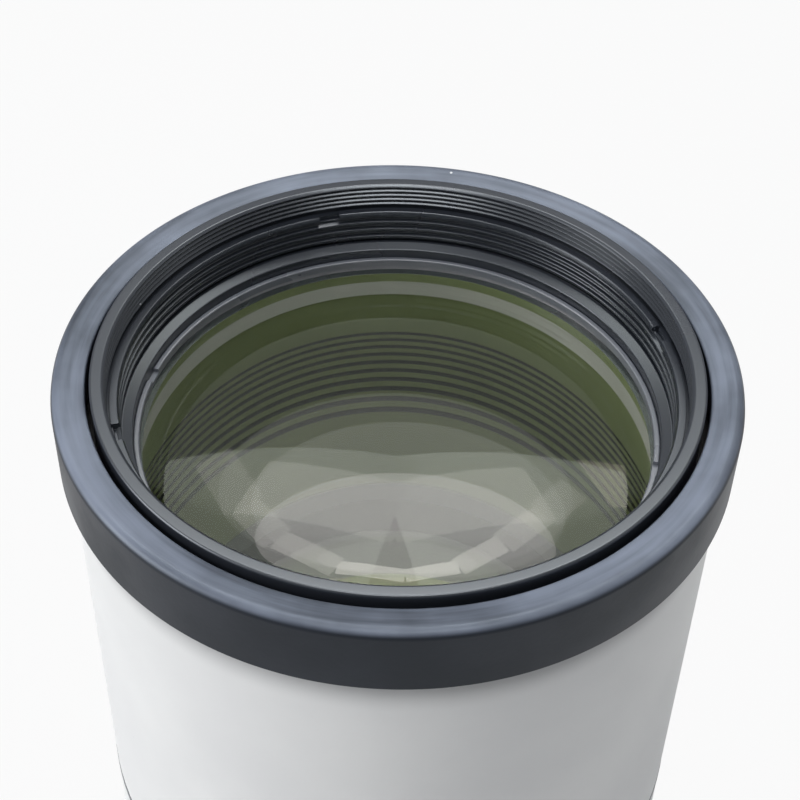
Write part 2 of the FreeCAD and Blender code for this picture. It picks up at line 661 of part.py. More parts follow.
def make_rear_cell():
    inner = d.rear_glass_radius + d.fit_gap
    flange_rear = d.rear_flange_front - d.rear_flange_thickness
    glass_seat = d.rear_cell_rear + d.rear_lip
    piece(turned("rear_cell_shell", [
        (inner - d.rear_lip, d.rear_cell_rear),
        (d.rear_cell_radius, d.rear_cell_rear),
        (d.rear_cell_radius, flange_rear),
        (rear_bore - d.fit_gap, flange_rear),
        (rear_bore - d.fit_gap, d.rear_flange_front),
        (d.rear_cell_radius, d.rear_flange_front),
        (d.rear_cell_radius, d.rear_cell_front),
        (inner, d.rear_cell_front),
        (inner, glass_seat),
        (inner - d.rear_lip, glass_seat),
    ]), "rear_cell")

    last_edge = glass_seat + d.rear_element_2_edge
    piece(turned("last_glass", [
        (ZERO, glass_seat),
        (d.rear_glass_radius, glass_seat),
        (d.rear_glass_radius, last_edge),
        (ZERO, last_edge + sag(d.rear_glass_radius, d.rear_element_2_bend), d.rear_element_2_bend),
    ]), "rear_element_2")
    hollow = last_edge + d.glass_gap
    front = hollow + d.rear_element_1_edge
    piece(turned("next_glass", [
        (ZERO, hollow + sag(d.rear_glass_radius, d.rear_element_1_bend)),
        (d.rear_glass_radius, hollow, -d.rear_element_1_bend),
        (d.rear_glass_radius, front),
        (ZERO, front),
    ]), "rear_element_1")
    piece(ring("rear_lock", inner - d.rear_retainer_width, inner, front,
               front + d.rear_retainer_length), "rear_retainer")


# Main barrel with the distance window and the switch panel

WINDOW_SIDE = 270
PANEL_SIDE = 180


def make_main_barrel():
    spigot_radius = rear_bore - d.fit_gap
    spigot_rear = seat_front - d.spigot_length
    shell = turned("main_shell", [
        (spigot_radius - d.spigot_wall, spigot_rear),
        (spigot_radius, spigot_rear),
        (spigot_radius, seat_front),
        (d.main_radius - d.main_chamfer, seat_front),
        (d.main_radius, seat_front + d.main_chamfer),
        (d.main_radius, d.ridge_rear),
        (d.collar_ridge_radius, d.ridge_front - d.ridge_land),
        (d.collar_ridge_radius, d.ridge_front),
        (d.main_radius, d.ridge_front),
        (d.main_radius, d.main_front),
        (main_bore, d.main_front),
        (main_bore, seat_front + d.main_shoulder),
        (spigot_radius - d.spigot_wall, seat_front + d.main_shoulder),
    ])
    outside = d.main_radius + d.free_gap
    window = ring("window_opening", main_bore - d.free_gap, outside, d.window_rear,
                  d.window_rear + d.window_length, d.window_angle, WINDOW_SIDE)
    pocket = ring("panel_pocket", d.panel_seat, outside, d.panel_rear,
                  d.panel_rear + d.panel_length, d.panel_angle, PANEL_SIDE)
    holes = [panel_screw_hole(end, "main_panel_hole", d.panel_screw_radius, main_bore, d.panel_seat)
             for end in (0, 1)]
    piece(without("main_shell_open", shell, [window, pocket] + holes), "main_barrel")


def panel_screw_hole(end, name, radius, inner, outer):
    """One of the two holes at opposite corners of the switch panel."""
    z = d.panel_rear + d.panel_screw_inset
    side = PANEL_SIDE - float(d.panel_angle) / 3
    if end:
        z = d.panel_rear + d.panel_length - d.panel_screw_inset
        side = PANEL_SIDE + float(d.panel_angle) / 3
    return spoke(f"{name}_{end}", radius, inner, outer, z, side)


def make_distance_window():
    """The pane clears its opening by the fit gap all round."""
    outer = d.main_radius - d.fit_gap
    slack = math.degrees(float(d.fit_gap) / float(d.main_radius))
    piece(ring("window_pane", outer - d.window_thickness, outer, d.window_rear + d.fit_gap,
               d.window_rear + d.window_length - d.fit_gap, d.window_angle - 2 * slack, WINDOW_SIDE),
          "distance_window")


def make_switch_panel():
    slack = math.degrees(float(d.fit_gap) / float(d.main_radius))
    plate = ring("panel_plate", d.panel_seat, d.panel_radius, d.panel_rear + d.fit_gap,
                 d.panel_rear + d.panel_length - d.fit_gap, d.panel_angle - 2 * slack, PANEL_SIDE)
    cutters = []
    for name, middle in (("mode", d.mode_switch_place), ("range", d.range_switch_place)):
        half_width = d.stem_width / 2 + d.free_gap
        half_length = d.stem_length / 2 + d.switch_travel / 2 + d.free_gap
        cutters.append(block(f"{name}_slot", -d.panel_radius - d.free_gap, -d.panel_seat + d.free_gap,
                             -half_width, half_width, middle - half_length, middle + half_length))
    head_seat = d.panel_radius - d.panel_head_height
    for end in (0, 1):
        cutters.append(panel_screw_hole(end, "panel_hole", d.panel_screw_radius,
                                        d.panel_seat - d.free_gap, d.panel_radius + d.free_gap))
        cutters.append(panel_screw_hole(end, "panel_sink", d.panel_head_radius,
                                        head_seat, d.panel_radius + d.free_gap))
    piece(without("panel_open", plate, cutters), "switch_panel")
    screws = []
    for end in (0, 1):
        shank = panel_screw_hole(end, "panel_shank", d.panel_screw_radius, main_bore, head_seat)
        head = panel_screw_hole(end, "panel_head", d.panel_head_radius, head_seat, d.panel_radius)
        screws.append(joined(f"panel_screw_{end}", [shank, head]))
    piece(group("panel_screw_set", screws), "panel_screws")


def make_switch(name, middle):
    """A ribbed knob on a stem that runs in the panel's slot, drawn at its rear end."""
    rest = middle - d.switch_travel / 2
    stem = block(f"{name}_stem", -d.panel_radius - d.free_gap, -d.panel_seat - d.free_gap,
                 -d.stem_width / 2, d.stem_width / 2, rest - d.stem_length / 2, rest + d.stem_length / 2)
    knob_floor = d.panel_radius + d.run_gap
    knob = block(f"{name}_knob", -knob_floor - d.switch_height, -knob_floor,
                 -d.switch_width / 2, d.switch_width / 2,
                 rest - d.switch_length / 2, rest + d.switch_length / 2)
    grooves = []
    for number in range(-1, 2):
        z = rest + d.switch_length * (number / 4)
        grooves.append(block(f"{name}_groove_{number + 1}",
                             -knob_floor - d.switch_height - d.free_gap,
                             -knob_floor - d.switch_height * 0.6,
                             -d.switch_width, d.switch_width, z - d.free_gap, z + d.free_gap))
    piece(joined(f"{name}_whole", [stem, without(f"{name}_ribbed", knob, grooves)]), name)


# Focus ring and the white ring in front of it

def make_focus_ring():
    bearing = d.main_radius + d.run_gap
    piece(turned("focus_hoop", [
        (bearing, focus_rear),
        (d.focus_rim_radius, focus_rear),
        (d.focus_rim_radius, focus_rear + d.focus_rim_width),
        (d.focus_bed_radius, focus_rear + d.focus_rim_width),
        (d.focus_bed_radius, focus_front - d.focus_rim_width),
        (d.focus_rim_radius, focus_front - d.focus_rim_width),
        (d.focus_rim_radius, focus_front),
        (bearing, focus_front),
    ]), "focus_ring")


def make_focus_grip():
    rear = focus_rear + d.focus_rim_width
    front = focus_front - d.focus_rim_width
    body = ring("grip", d.focus_bed_radius, d.grip_radius, rear, front)
    floor = d.grip_radius - d.grip_groove_depth
    half = d.grip_groove_width / 2
    far = d.grip_radius + d.free_gap
    sketch = outline_sketch(body, "grip_groove_outline",
                            [(floor, -half), (far, -half), (far, half), (floor, half)], "XY_Plane")
    bind(sketch, "AttachmentOffset.Base.z", rear + d.grip_end_band)
    groove = body.newObject("PartDesign::Pocket", "grip_groove")
    groove.Profile = sketch
    groove.Reversed = True
    bind(groove, "Length", front - rear - d.grip_end_band * 2)
    ribs = body.newObject("PartDesign::PolarPattern", "grip_grooves")
    ribs.Originals = [groove]
    ribs.Axis = (plane_of(body, "Z_Axis"), [""])
    ribs.Angle = FULL_TURN
    bind(ribs, "Occurrences", d.grip_ribs)
    body.Tip = ribs
    piece(body, "focus_grip")


def make_barrel_ring():
    front_seat = d.front_radius + d.fit_gap
    main_seat = d.main_radius + d.fit_gap
    piece(turned("white_ring", [
        (main_seat, barrel_ring_rear),
        (d.hood_radius, barrel_ring_rear),
        (d.hood_radius, barrel_ring_front),
        (front_seat, barrel_ring_front),
        (front_seat, d.main_front + d.fit_gap),
        (main_seat, d.main_front + d.fit_gap),
    ]), "barrel_ring")


# Front barrel, filter ring and the front of the lens

def make_front_barrel():
    spigot_bore = front_bore - d.front_step
    piece(turned("front_shell", [
        (spigot_bore, d.main_front - d.front_spigot_length),
        (main_lining, d.main_front - d.front_spigot_length),
        (main_lining, d.main_front),
        (d.front_radius, d.main_front),
        (d.front_radius, d.front_barrel_end),
        (front_bore, d.front_barrel_end),
        (front_bore, d.group_seat),
        (spigot_bore, d.group_seat),
    ]), "front_barrel")


def make_filter_ring():
    """The rim, the thread's rings, the relief behind them and the spigot."""
    outline = [
        (d.filter_bore, d.front_barrel_end - d.filter_spigot),
        (front_lining, d.front_barrel_end - d.filter_spigot),
        (front_lining, d.front_barrel_end),
        (d.front_radius, d.front_barrel_end),
        (d.front_radius, d.filter_front - d.rim_round),
        (d.front_radius - d.rim_round, d.filter_front, d.rim_round),
        (d.rim_inner, d.filter_front),
    ]
    half_land = d.thread_land / 2
    for turn in range(int(float(d.thread_turns))):
        crest = thread_front - d.thread_pitch * turn
        outline.append((d.thread_crest, crest + half_land))
        outline.append((d.thread_crest, crest - half_land))
        outline.append((d.thread_root, crest - d.thread_pitch / 2))
    outline += [
        (d.thread_relief, thread_rear),
        (d.thread_relief, filter_bore_front),
        (d.filter_bore, filter_bore_front),
    ]
    piece(turned("filter_hoop", outline), "filter_ring")


def make_front_baffle():
    """A ring with ridges against stray light; its flange rests on the filter ring's bore."""
    outer = d.filter_bore - d.fit_gap
    outline = [
        (d.ridge_valley, d.notched_rear),
        (outer, d.notched_rear),
        (outer, filter_bore_front),
        (d.notched_radius, filter_bore_front),
        (d.notched_radius, d.notched_front),
        (d.notched_radius - d.notched_face, d.notched_front),
    ]
    half = d.ridge_crest_width / 2
    for number in range(int(float(d.ridge_count))):
        crest = d.notched_front - d.first_ridge - d.ridge_pitch * number
        outline.append((d.ridge_crest, crest + half))
        outline.append((d.ridge_crest, crest - half))
        outline.append((d.ridge_valley, crest - half - d.ridge_flank))
        if number + 1 < float(d.ridge_count):
            outline.append((d.ridge_valley, crest - d.ridge_pitch + half + d.ridge_flank))
    body = turned("notched_hoop", outline)
    notches = []
    for number in range(4):
        notches.append(block(f"front_notch_{number}", d.ridge_crest - d.free_gap,
                             d.notched_radius + d.free_gap,
                             -d.notch_width / 2, d.notch_width / 2,
                             d.notched_front - d.notch_depth, d.notched_front + d.free_gap,
                             float(d.notch_angle) + 90 * number))
    piece(without("notched_ring", body, notches), "front_baffle")


element_rear_vertex = d.element_vertex - d.element_thickness
element_rear_edge = element_rear_vertex + sag(d.element_radius, d.element_rear_bend)
element_front_edge = d.element_vertex - sag(d.element_radius, d.element_front_bend)
element_bore = d.element_radius + d.fit_gap


def make_front_element():
    piece(turned("front_glass", [
        (ZERO, element_rear_vertex),
        (d.element_radius, element_rear_edge, d.element_rear_bend),
        (d.element_radius, element_front_edge),
        (ZERO, d.element_vertex, d.element_front_bend),
    ]), "front_element")


def make_front_cell():
    """Carries the front element between a seat below and the retaining ring above."""
    seat_inner = element_bore - d.cell_seat_width
    seat_height = element_rear_vertex + sag(seat_inner, d.element_rear_bend) - d.glass_gap
    piece(turned("front_cell_shell", [
        (d.cell_throat, d.cell_rear),
        (front_lining, d.cell_rear),
        (front_lining, d.cell_shoulder),
        (d.lip_radius + d.lip_land, d.cell_shoulder),
        (d.lip_radius + d.lip_land, d.lip_front),
        (d.lip_radius, d.lip_front),
        (element_bore, d.lip_rear),
        (element_bore, element_rear_edge - d.glass_gap),
        (seat_inner, seat_height),
        (seat_inner, d.cell_rear + d.cell_cone),
    ]), "front_cell")


def make_front_retainer():
    outer = element_bore - d.fit_gap / 2
    inner_foot = d.element_vertex - sag(d.clear_radius, d.element_front_bend) + d.glass_gap
    outer_foot = d.element_vertex - sag(outer, d.element_front_bend) + d.glass_gap
    top = inner_foot + d.retainer_height
    body = turned("retainer_hoop", [
        (d.clear_radius, inner_foot),
        (outer, outer_foot),
        (outer, top - d.retainer_round),
        (outer - d.retainer_round, top, d.retainer_round),
        (d.clear_radius + d.retainer_round, top),
        (d.clear_radius, top - d.retainer_round, d.retainer_round),
    ])
    notches = []
    for number in range(2):
        notches.append(block(f"retainer_notch_{number}", d.clear_radius - d.free_gap, outer + d.free_gap,
                             -d.retainer_notch_width / 2, d.retainer_notch_width / 2,
                             top - d.retainer_notch_depth, top + d.free_gap,
                             float(d.retainer_notch_angle) + 180 * number))
    piece(without("retainer_notched", body, notches), "front_retainer")


# Second group in its grooved cell

group_bore = d.group_radius + d.fit_gap
group_glass_seat = d.group_seat + d.group_lip_height
element_2_edge = d.element_2_vertex - sag(d.group_radius, d.element_2_bend)


def make_group_cell():
    outline = [
        (group_bore - d.group_lip, d.group_seat),
        (front_lining, d.group_seat),
        (front_lining, d.group_seat + d.group_flange),
        (d.group_tube_radius, d.group_seat + d.group_flange),
        (d.group_tube_radius, d.cell_rear - d.group_tube_gap),
        (group_bore, d.cell_rear - d.group_tube_gap),
    ]
    half = d.group_groove_width / 2
    depth = group_bore + d.group_groove_depth
    for number in reversed(range(int(float(d.group_groove_count)))):
        middle = d.group_groove_first + d.ridge_pitch * number
        outline += [(group_bore, middle + half), (depth, middle + half),
                    (depth, middle - half), (group_bore, middle - half)]
    outline += [(group_bore, group_glass_seat), (group_bore - d.group_lip, group_glass_seat)]
    piece(turned("group_tube", outline), "group_cell")


def make_second_group():
    cement_vertex = d.cement_edge - sag(d.group_radius, d.cement_bend)
    piece(turned("front_of_pair", [
        (ZERO, cement_vertex + d.glass_gap),
        (d.group_radius, d.cement_edge + d.glass_gap, d.cement_bend),
        (d.group_radius, element_2_edge),
        (ZERO, d.element_2_vertex, d.element_2_bend),
    ]), "element_2")
    piece(turned("rear_of_pair", [
        (ZERO, group_glass_seat + sag(d.group_radius, d.element_3_bend)),
        (d.group_radius, group_glass_seat, -d.element_3_bend),
        (d.group_radius, d.cement_edge),
        (ZERO, cement_vertex, -d.cement_bend),
    ]), "element_3")
    inner = group_bore - d.group_retainer_width
    inner_foot = d.element_2_vertex - sag(inner, d.element_2_bend) + d.glass_gap
    outer_foot = element_2_edge + d.glass_gap
    piece(turned("pair_lock", [
        (inner, inner_foot),
        (group_bore - d.fit_gap / 2, outer_foot),
        (group_bore - d.fit_gap / 2, inner_foot + d.group_retainer_length),
        (inner, inner_foot + d.group_retainer_length),
    ]), "group_retainer")


# Sliding hood

def make_hood():
    trim_rear = d.hood_rear + d.trim_inset
    trim_front = trim_rear + d.trim_width
    trim_floor = d.hood_radius - d.trim_depth
    piece(turned("hood_shell", [
        (hood_bore, d.hood_rear),
        (d.hood_radius, d.hood_rear),
        (d.hood_radius, trim_rear),
        (trim_floor, trim_rear),
        (trim_floor, trim_front),
        (d.hood_radius, trim_front),
        (d.hood_radius, d.hood_front),
        (hood_bore, d.hood_front),
    ]), "hood_tube")
    piece(ring("hood_trim", trim_floor, d.hood_radius + d.trim_proud, trim_rear, trim_front),
          "hood_trim_ring")
    piece(ring("hood_slide", d.front_radius + d.slide_gap, hood_bore, slide_rear,
               slide_rear + d.slide_length), "hood_slide_ring")
    piece(ring("hood_stop", d.front_radius, d.front_radius + d.stop_height, stop_rear,
               stop_rear + d.stop_length), "hood_stop_ring")


def make_hood_bumper():
    """A rubber hoop over the front edge of the hood, with a lip that reaches inwards."""
    turn_over = d.hood_front + d.bumper_side_height
    top = d.hood_front + d.bumper_crown
    piece(turned("bumper", [
        (d.bumper_lip_radius, d.hood_front),
        (d.hood_radius, d.hood_front),
        (d.hood_radius, d.hood_front - d.bumper_length),
        (d.bumper_radius, d.hood_front - d.bumper_length),
        (d.bumper_radius, turn_over),
        (d.bumper_radius - d.bumper_round, top, d.bumper_round),
        (d.bumper_lip_radius, d.hood_front + d.bumper_lip_height),
    ]), "hood_bumper")


# Inner barrel, cam ring and focus cell

def slot_cutters(name, radius, inner, outer, z_low, z_high, angle):
    """A straight slot along the axis with round ends, cut radially."""
    return [
        spoke(f"{name}_rear_end", radius, inner, outer, z_low, angle),
        spoke(f"{name}_front_end", radius, inner, outer, z_high, angle),
        block(f"{name}_middle", inner, outer, -radius, radius, z_low, z_high, angle),
    ]


def make_inner_barrel():
    flange_rear = d.inner_front - d.inner_flange
    shell = turned("inner_shell", [
        (d.inner_bore, d.inner_rear),
        (d.inner_radius, d.inner_rear),
        (d.inner_radius, flange_rear),
        (main_lining, flange_rear),
        (main_lining, d.inner_front),
        (d.inner_bore, d.inner_front),
    ])
    cutters = []
    for number in range(3):
        cutters += slot_cutters(
            f"inner_slot_{number}", d.follower_radius + d.run_gap, d.inner_bore - d.free_gap,
            d.inner_radius + d.free_gap, d.follower_place, d.follower_place + d.focus_travel,
            float(d.follower_angle) + 120 * number)
    piece(without("inner_slotted", shell, cutters), "inner_barrel")


def helical_slot(radius, inner, outer, z, rise, turn, angle):
    """A radial slot that climbs `rise` while it turns backwards by `turn` degrees."""
    middle = (inner + outer) / 2
    helix = Part.makeHelix(rise * FULL_TURN / turn, rise, middle, 0, True)
    path = helix.Edges[0]
    start = path.valueAt(path.FirstParameter)
    tangent = path.tangentAt(path.FirstParameter)
    across = tangent.cross(ALONG_X).normalize()
    half_depth = (outer - inner) / 2
    corners = [start + ALONG_X * (half_depth * x) + across * (radius * y)
               for x, y in ((-1, -1), (1, -1), (1, 1), (-1, 1), (-1, -1))]
    channel = Part.Wire(helix.Edges).makePipeShell([Part.makePolygon(corners)], True, True)
    rear_end = Part.makeCylinder(radius, outer - inner, Vector(inner, 0, 0), ALONG_X)
    front_end = rear_end.copy()
    front_end.Placement = Placement(Vector(0, 0, rise), Rotation(ALONG_Z, -turn)).multiply(
        front_end.Placement)
    slot = channel.fuse([rear_end, front_end])
    slot.Placement = Placement(Vector(0, 0, z), Rotation(ALONG_Z, angle))
    return slot


def make_cam_ring():
    """A turned ring whose three cam slots are helices, cut by swept solids."""
    bore = d.inner_radius + d.cam_gap
    shell = ring("cam_shell", bore, d.cam_radius, d.cam_rear, d.cam_rear + d.cam_length)
    cutters = []
    for number in range(3):
        slot = doc.addObject("Part::Feature", f"cam_slot_{number}")
        slot.Shape = helical_slot(float(d.follower_radius + d.run_gap), float(bore - d.free_gap),
                                  float(d.cam_radius + d.free_gap), float(d.follower_place),
                                  float(d.focus_travel), float(d.cam_turn),
                                  float(d.follower_angle) + 120 * number)
        cutters.append(slot)
    piece(without("cam_slotted", shell, cutters), "cam_ring")


def make_distance_scale():
    inner = d.scale_radius - d.scale_wall
    piece(turned("scale_drum", [
        (d.cam_radius, d.cam_rear),
        (d.scale_radius, d.cam_rear),
        (d.scale_radius, d.cam_rear + d.scale_length),
        (inner, d.cam_rear + d.scale_length),
        (inner, d.cam_rear + d.scale_web),
        (d.cam_radius, d.cam_rear + d.scale_web),
    ]), "distance_scale")


def make_focus_cell():
    bore = d.focus_element_radius + d.fit_gap
    outer = d.inner_bore - d.run_gap
    seat = d.focus_cell_rear + d.focus_cell_lip
    shell = turned("focus_cell_shell", [
        (bore - d.focus_cell_lip, d.focus_cell_rear),
        (outer, d.focus_cell_rear),
        (outer, d.focus_cell_rear + d.focus_cell_length),
        (bore, d.focus_cell_rear + d.focus_cell_length),
        (bore, seat),
        (bore - d.focus_cell_lip, seat),
    ])
    pin_inner = outer - d.follower_depth
    pin_outer = d.cam_radius - d.follower_proud
    holes = []
    pins = []
    for number in range(3):
        angle = float(d.follower_angle) + 120 * number
        holes.append(spoke(f"follower_hole_{number}", d.follower_radius, pin_inner,
                           outer + d.free_gap, d.follower_place, angle))
        pins.append(spoke(f"follower_{number}", d.follower_radius, pin_inner, pin_outer,
                          d.follower_place, angle))
    piece(without("focus_cell_drilled", shell, holes), "focus_cell")
    piece(group("follower_set", pins), "cam_followers")

    edge = seat + d.focus_element_edge
    piece(turned("focus_glass", [
        (ZERO, seat),
        (d.focus_element_radius, seat),
        (d.focus_element_radius, edge),
        (ZERO, edge - sag(d.focus_element_radius, d.focus_element_bend), -d.focus_element_bend),
    ]), "focus_element")
    piece(ring("focus_lock", bore - d.focus_retainer_width, bore, edge,
               edge + d.focus_retainer_length), "focus_retainer")


def make_motor():
    stator_front = d.stator_rear + d.stator_length
    piece(ring("stator", d.motor_bore, main_lining, d.stator_rear, stator_front), "motor_stator")
    rotor_rear = stator_front + d.run_gap
    piece(ring("rotor", d.motor_bore, main_bore - d.run_gap, rotor_rear, rotor_rear + d.rotor_length),
          "motor_rotor")


# Iris

iris_rear = d.inner_front
iris_floor_top = iris_rear + d.iris_floor
first_blade = iris_floor_top + d.free_gap
last_blade_top = first_blade + d.blade_level * (float(d.blade_count) - 1) + d.blade_thickness
drive_ring_rear = last_blade_top + d.drive_ring_lift
drive_ring_front = drive_ring_rear + d.drive_ring_thickness
BLADES = int(float(d.blade_count))


def drive_pin_place(swing):
    """Centre of the first blade's drive pin after a swing in degrees."""
    turn = math.radians(float(d.drive_pin_angle) + swing)
    x = float(d.pivot_circle) + float(d.drive_pin_offset) * math.cos(turn)
    return Vector(x, float(d.drive_pin_offset) * math.sin(turn), 0)


def make_iris_housing():
    wall_top = iris_rear + d.iris_length
    shell = turned("iris_shell", [
        (d.iris_floor_bore, iris_rear),
        (main_lining, iris_rear),
        (main_lining, wall_top),
        (d.iris_wall_bore, wall_top),
        (d.iris_wall_bore, iris_floor_top),
        (d.iris_floor_bore, iris_floor_top),
    ])
    lug_rear = drive_ring_front + d.free_gap
    lugs = [ring(f"iris_lug_{number}", d.iris_wall_bore - d.iris_lug_width, main_lining,
                 lug_rear, lug_rear + d.iris_lug_height, d.iris_lug_angle, 120 * number)
            for number in range(3)]
    holes = []
    for number in range(BLADES):
        x, y = on_circle(d.pivot_circle, FULL_TURN / BLADES * number)
        holes.append(cylinder(f"pivot_hole_{number}", d.pivot_pin_radius + d.run_gap,
                              d.iris_floor, x, y, iris_rear))
    piece(without("iris_drilled", joined("iris_lugged", [shell] + lugs), holes), "iris_housing")


def padded(name, outline, height, role="XY_Plane"):
    """Raise a closed outline by a height."""
    body = doc.addObject("PartDesign::Body", name + "_body")
    sketch = outline_sketch(body, name + "_outline", outline, role)
    pad = body.newObject("PartDesign::Pad", name + "_pad")
    pad.Profile = sketch
    bind(pad, "Length", height)
    return body


def make_iris_blade(number):
    """A thin crescent with a pivot pin that points back and a drive pin that points forward."""
    name = f"iris_blade_{number + 1}"
    level = first_blade + d.blade_level * number
    heel = 6
    start = -heel
    end = float(d.blade_angle) - heel
    crescent = padded(f"{name}_crescent", [
        on_circle(d.blade_outer, start),
        (*on_circle(d.blade_outer, end), d.blade_outer),
        on_circle(d.blade_inner, end),
        (*on_circle(d.blade_inner, start), -d.blade_inner),
    ], d.blade_thickness)
    pin_turn = math.radians(float(d.drive_pin_angle))
    drive_x = d.pivot_circle + d.drive_pin_offset * math.cos(pin_turn)
    drive_y = d.drive_pin_offset * math.sin(pin_turn)
    tab = d.pivot_pin_radius + d.blade_tab
    side_x = tab * math.sin(pin_turn)
    side_y = tab * math.cos(pin_turn)
    web = padded(f"{name}_web", [
        (d.pivot_circle + side_x, -side_y),
        (drive_x + side_x, drive_y - side_y),
        (drive_x - side_x, drive_y + side_y),
        (d.pivot_circle - side_x, side_y),
    ], d.blade_thickness)
    heel_plate = block(f"{name}_heel", d.blade_outer - tab, d.pivot_circle, -tab, tab,
                       ZERO, d.blade_thickness)
    parts = [
        crescent, web, heel_plate,
        cylinder(f"{name}_pivot_tab", tab, d.blade_thickness, d.pivot_circle),
        cylinder(f"{name}_drive_tab", tab, d.blade_thickness, drive_x, drive_y),
        cylinder(f"{name}_pivot", d.pivot_pin_radius, level - iris_rear - d.free_gap + d.blade_thickness,
                 d.pivot_circle, ZERO, iris_rear + d.free_gap - level),
        cylinder(f"{name}_drive", d.drive_pin_radius, drive_ring_front - level - d.free_gap,
                 drive_x, drive_y),
    ]
    blade = joined(f"{name}_whole", parts)
    place(blade, ZERO, ZERO, level, Rotation(ALONG_Z, FULL_TURN / BLADES * number))
    piece(blade, name)


def make_iris_drive_ring():
    """Each slot follows a drive pin as the ring and the blades turn together."""
    body = ring("drive_hoop", d.drive_ring_inner, d.iris_wall_bore - d.run_gap,
                drive_ring_rear, drive_ring_front)
    swing = float(d.iris_swing)
    places = [Rotation(ALONG_Z, -swing * part).multVec(drive_pin_place(swing * part))
              for part in (0, 0.5, 1)]
    path = Part.Arc(*places).toShape()
    centre = path.Curve.Center
    half = float(d.drive_pin_radius + d.iris_slot_gap)
    height = float(d.drive_ring_thickness + d.free_gap * 2)
    bottom = float(drive_ring_rear - d.free_gap)
    sides = [path.valueAt(path.FirstParameter), path.valueAt(path.LastParameter)]
    edges = []
    for offset in (-half, half):
        ends = [point + (point - centre).normalize() * offset for point in sides]
        middle = places[1] + (places[1] - centre).normalize() * offset
        edges.append((ends[0], middle, ends[1]))
    (low_start, low_middle, low_end), (high_start, high_middle, high_end) = edges
    face = Part.Face(Part.Wire([
        Part.Arc(low_start, low_middle, low_end).toShape(),
        Part.LineSegment(low_end, high_end).toShape(),
        Part.Arc(high_end, high_middle, high_start).toShape(),
        Part.LineSegment(high_start, low_start).toShape(),
    ]))
    channel = face.extrude(Vector(0, 0, height))
    ends = [Part.makeCylinder(half, height, point) for point in sides]
    slot = channel.fuse(ends)
    cutters = []
    for number in range(BLADES):
        cutter = doc.addObject("Part::Feature", f"drive_slot_{number}")
        cutter.Shape = slot
        cutter.Placement = Placement(Vector(0, 0, bottom),
                                     Rotation(ALONG_Z, FULL_TURN / BLADES * number))
        cutters.append(cutter)
    piece(without("drive_slotted", body, cutters), "iris_drive_ring")


# Tripod collar

collar_bore = d.seat_radius + d.run_gap
collar_rear = seat_rear + d.free_gap
collar_front = seat_front - d.free_gap
collar_middle = (collar_rear + collar_front) / 2
half_split = d.collar_split / 2
knuckle_rear = collar_rear + d.knuckle_length
knuckle_front = collar_front - d.knuckle_length
knuckle_clear = d.knuckle_radius + d.free_gap


def half_collar(name, middle):
    """Half of the clamping ring, cut back from the plane of the split."""
    half = ring(f"{name}_half", collar_bore, d.collar_radius, collar_rear, collar_front, 180, middle)
    slab = block(f"{name}_split", -d.collar_radius - d.free_gap, d.collar_radius + d.free_gap,
                 -half_split, half_split, collar_rear - d.free_gap, collar_front + d.free_gap)
    return without(f"{name}_trimmed", half, [slab])


def hinge_cylinder(name, radius, rear, front):
    return cylinder(name, radius, front - rear, -d.hinge_offset, ZERO, rear)


def clamping_lug(name, low, high):
    reach = collar_bore + d.free_gap * 3
    return block(name, reach, d.lug_front, low, high,
                 collar_middle - d.lug_height / 2, collar_middle + d.lug_height / 2)


def make_collar_base():
    """The half with the foot. It carries the outer knuckles and the hinge pin."""
    arm = half_collar("base", 90)
    lug = clamping_lug("base_lug", half_split, half_split + d.lug_thickness)
    plate_top = d.foot_face - d.foot_thickness
    half_neck = d.neck_width / 2
    neck = block("foot_neck", -half_neck, half_neck, collar_bore + d.free_gap * 6, plate_top + d.free_gap,
                 collar_middle - d.neck_length / 2, collar_middle + d.neck_length / 2)
    half_width = d.foot_width / 2
    low = collar_middle - d.foot_length / 2
    high = collar_middle + d.foot_length / 2
    corner = d.foot_round
    plate = padded("foot_plate", [
        (half_width - corner, low),
        (half_width, low + corner, corner),
        (half_width, high - corner),
        (half_width - corner, high, corner),
        (corner - half_width, high),
        (-half_width, high - corner, corner),
        (-half_width, low + corner),
        (corner - half_width, low, corner),
    ], d.foot_thickness, "XZ_Plane")
    place(plate, ZERO, d.foot_face, ZERO)
    whole = joined("base_whole", [arm, lug, neck, plate])
    relieved = without("base_relieved", whole, [
        hinge_cylinder("base_hinge_room", knuckle_clear, knuckle_rear, knuckle_front),
    ])
    knuckled = joined("base_knuckled", [
        relieved,
        hinge_cylinder("base_knuckle_rear", d.knuckle_radius, collar_rear, knuckle_rear),
        hinge_cylinder("base_knuckle_front", d.knuckle_radius, knuckle_front, collar_front),
    ])
    bush_end = d.foot_face - d.bush_length
    screw_end = half_split + d.lug_thickness + d.free_gap
    piece(without("base_drilled", knuckled, [
        hinge_cylinder("base_pin_hole", d.hinge_pin_radius, collar_rear - d.free_gap,
                       collar_front + d.free_gap),
        cylinder("bush_hole", d.bush_radius, d.bush_length + d.free_gap, ZERO, bush_end,
                 collar_middle, ALONG_Y),
        cylinder("base_screw_hole", d.collar_screw_radius + d.screw_hole_gap, screw_end,
                 d.screw_place, ZERO, collar_middle, ALONG_Y),
    ]), "collar_base")
    bush = cylinder("bush_body", d.bush_radius, d.bush_length, ZERO, bush_end, collar_middle, ALONG_Y)
    thread = cylinder("bush_bore", d.bush_thread, d.bush_length, ZERO, bush_end, collar_middle, ALONG_Y)
    piece(without("bush_threaded", bush, [thread]), "tripod_bush")
    piece(hinge_cylinder("hinge_pin_body", d.hinge_pin_radius, collar_rear, collar_front),
          "collar_hinge_pin")


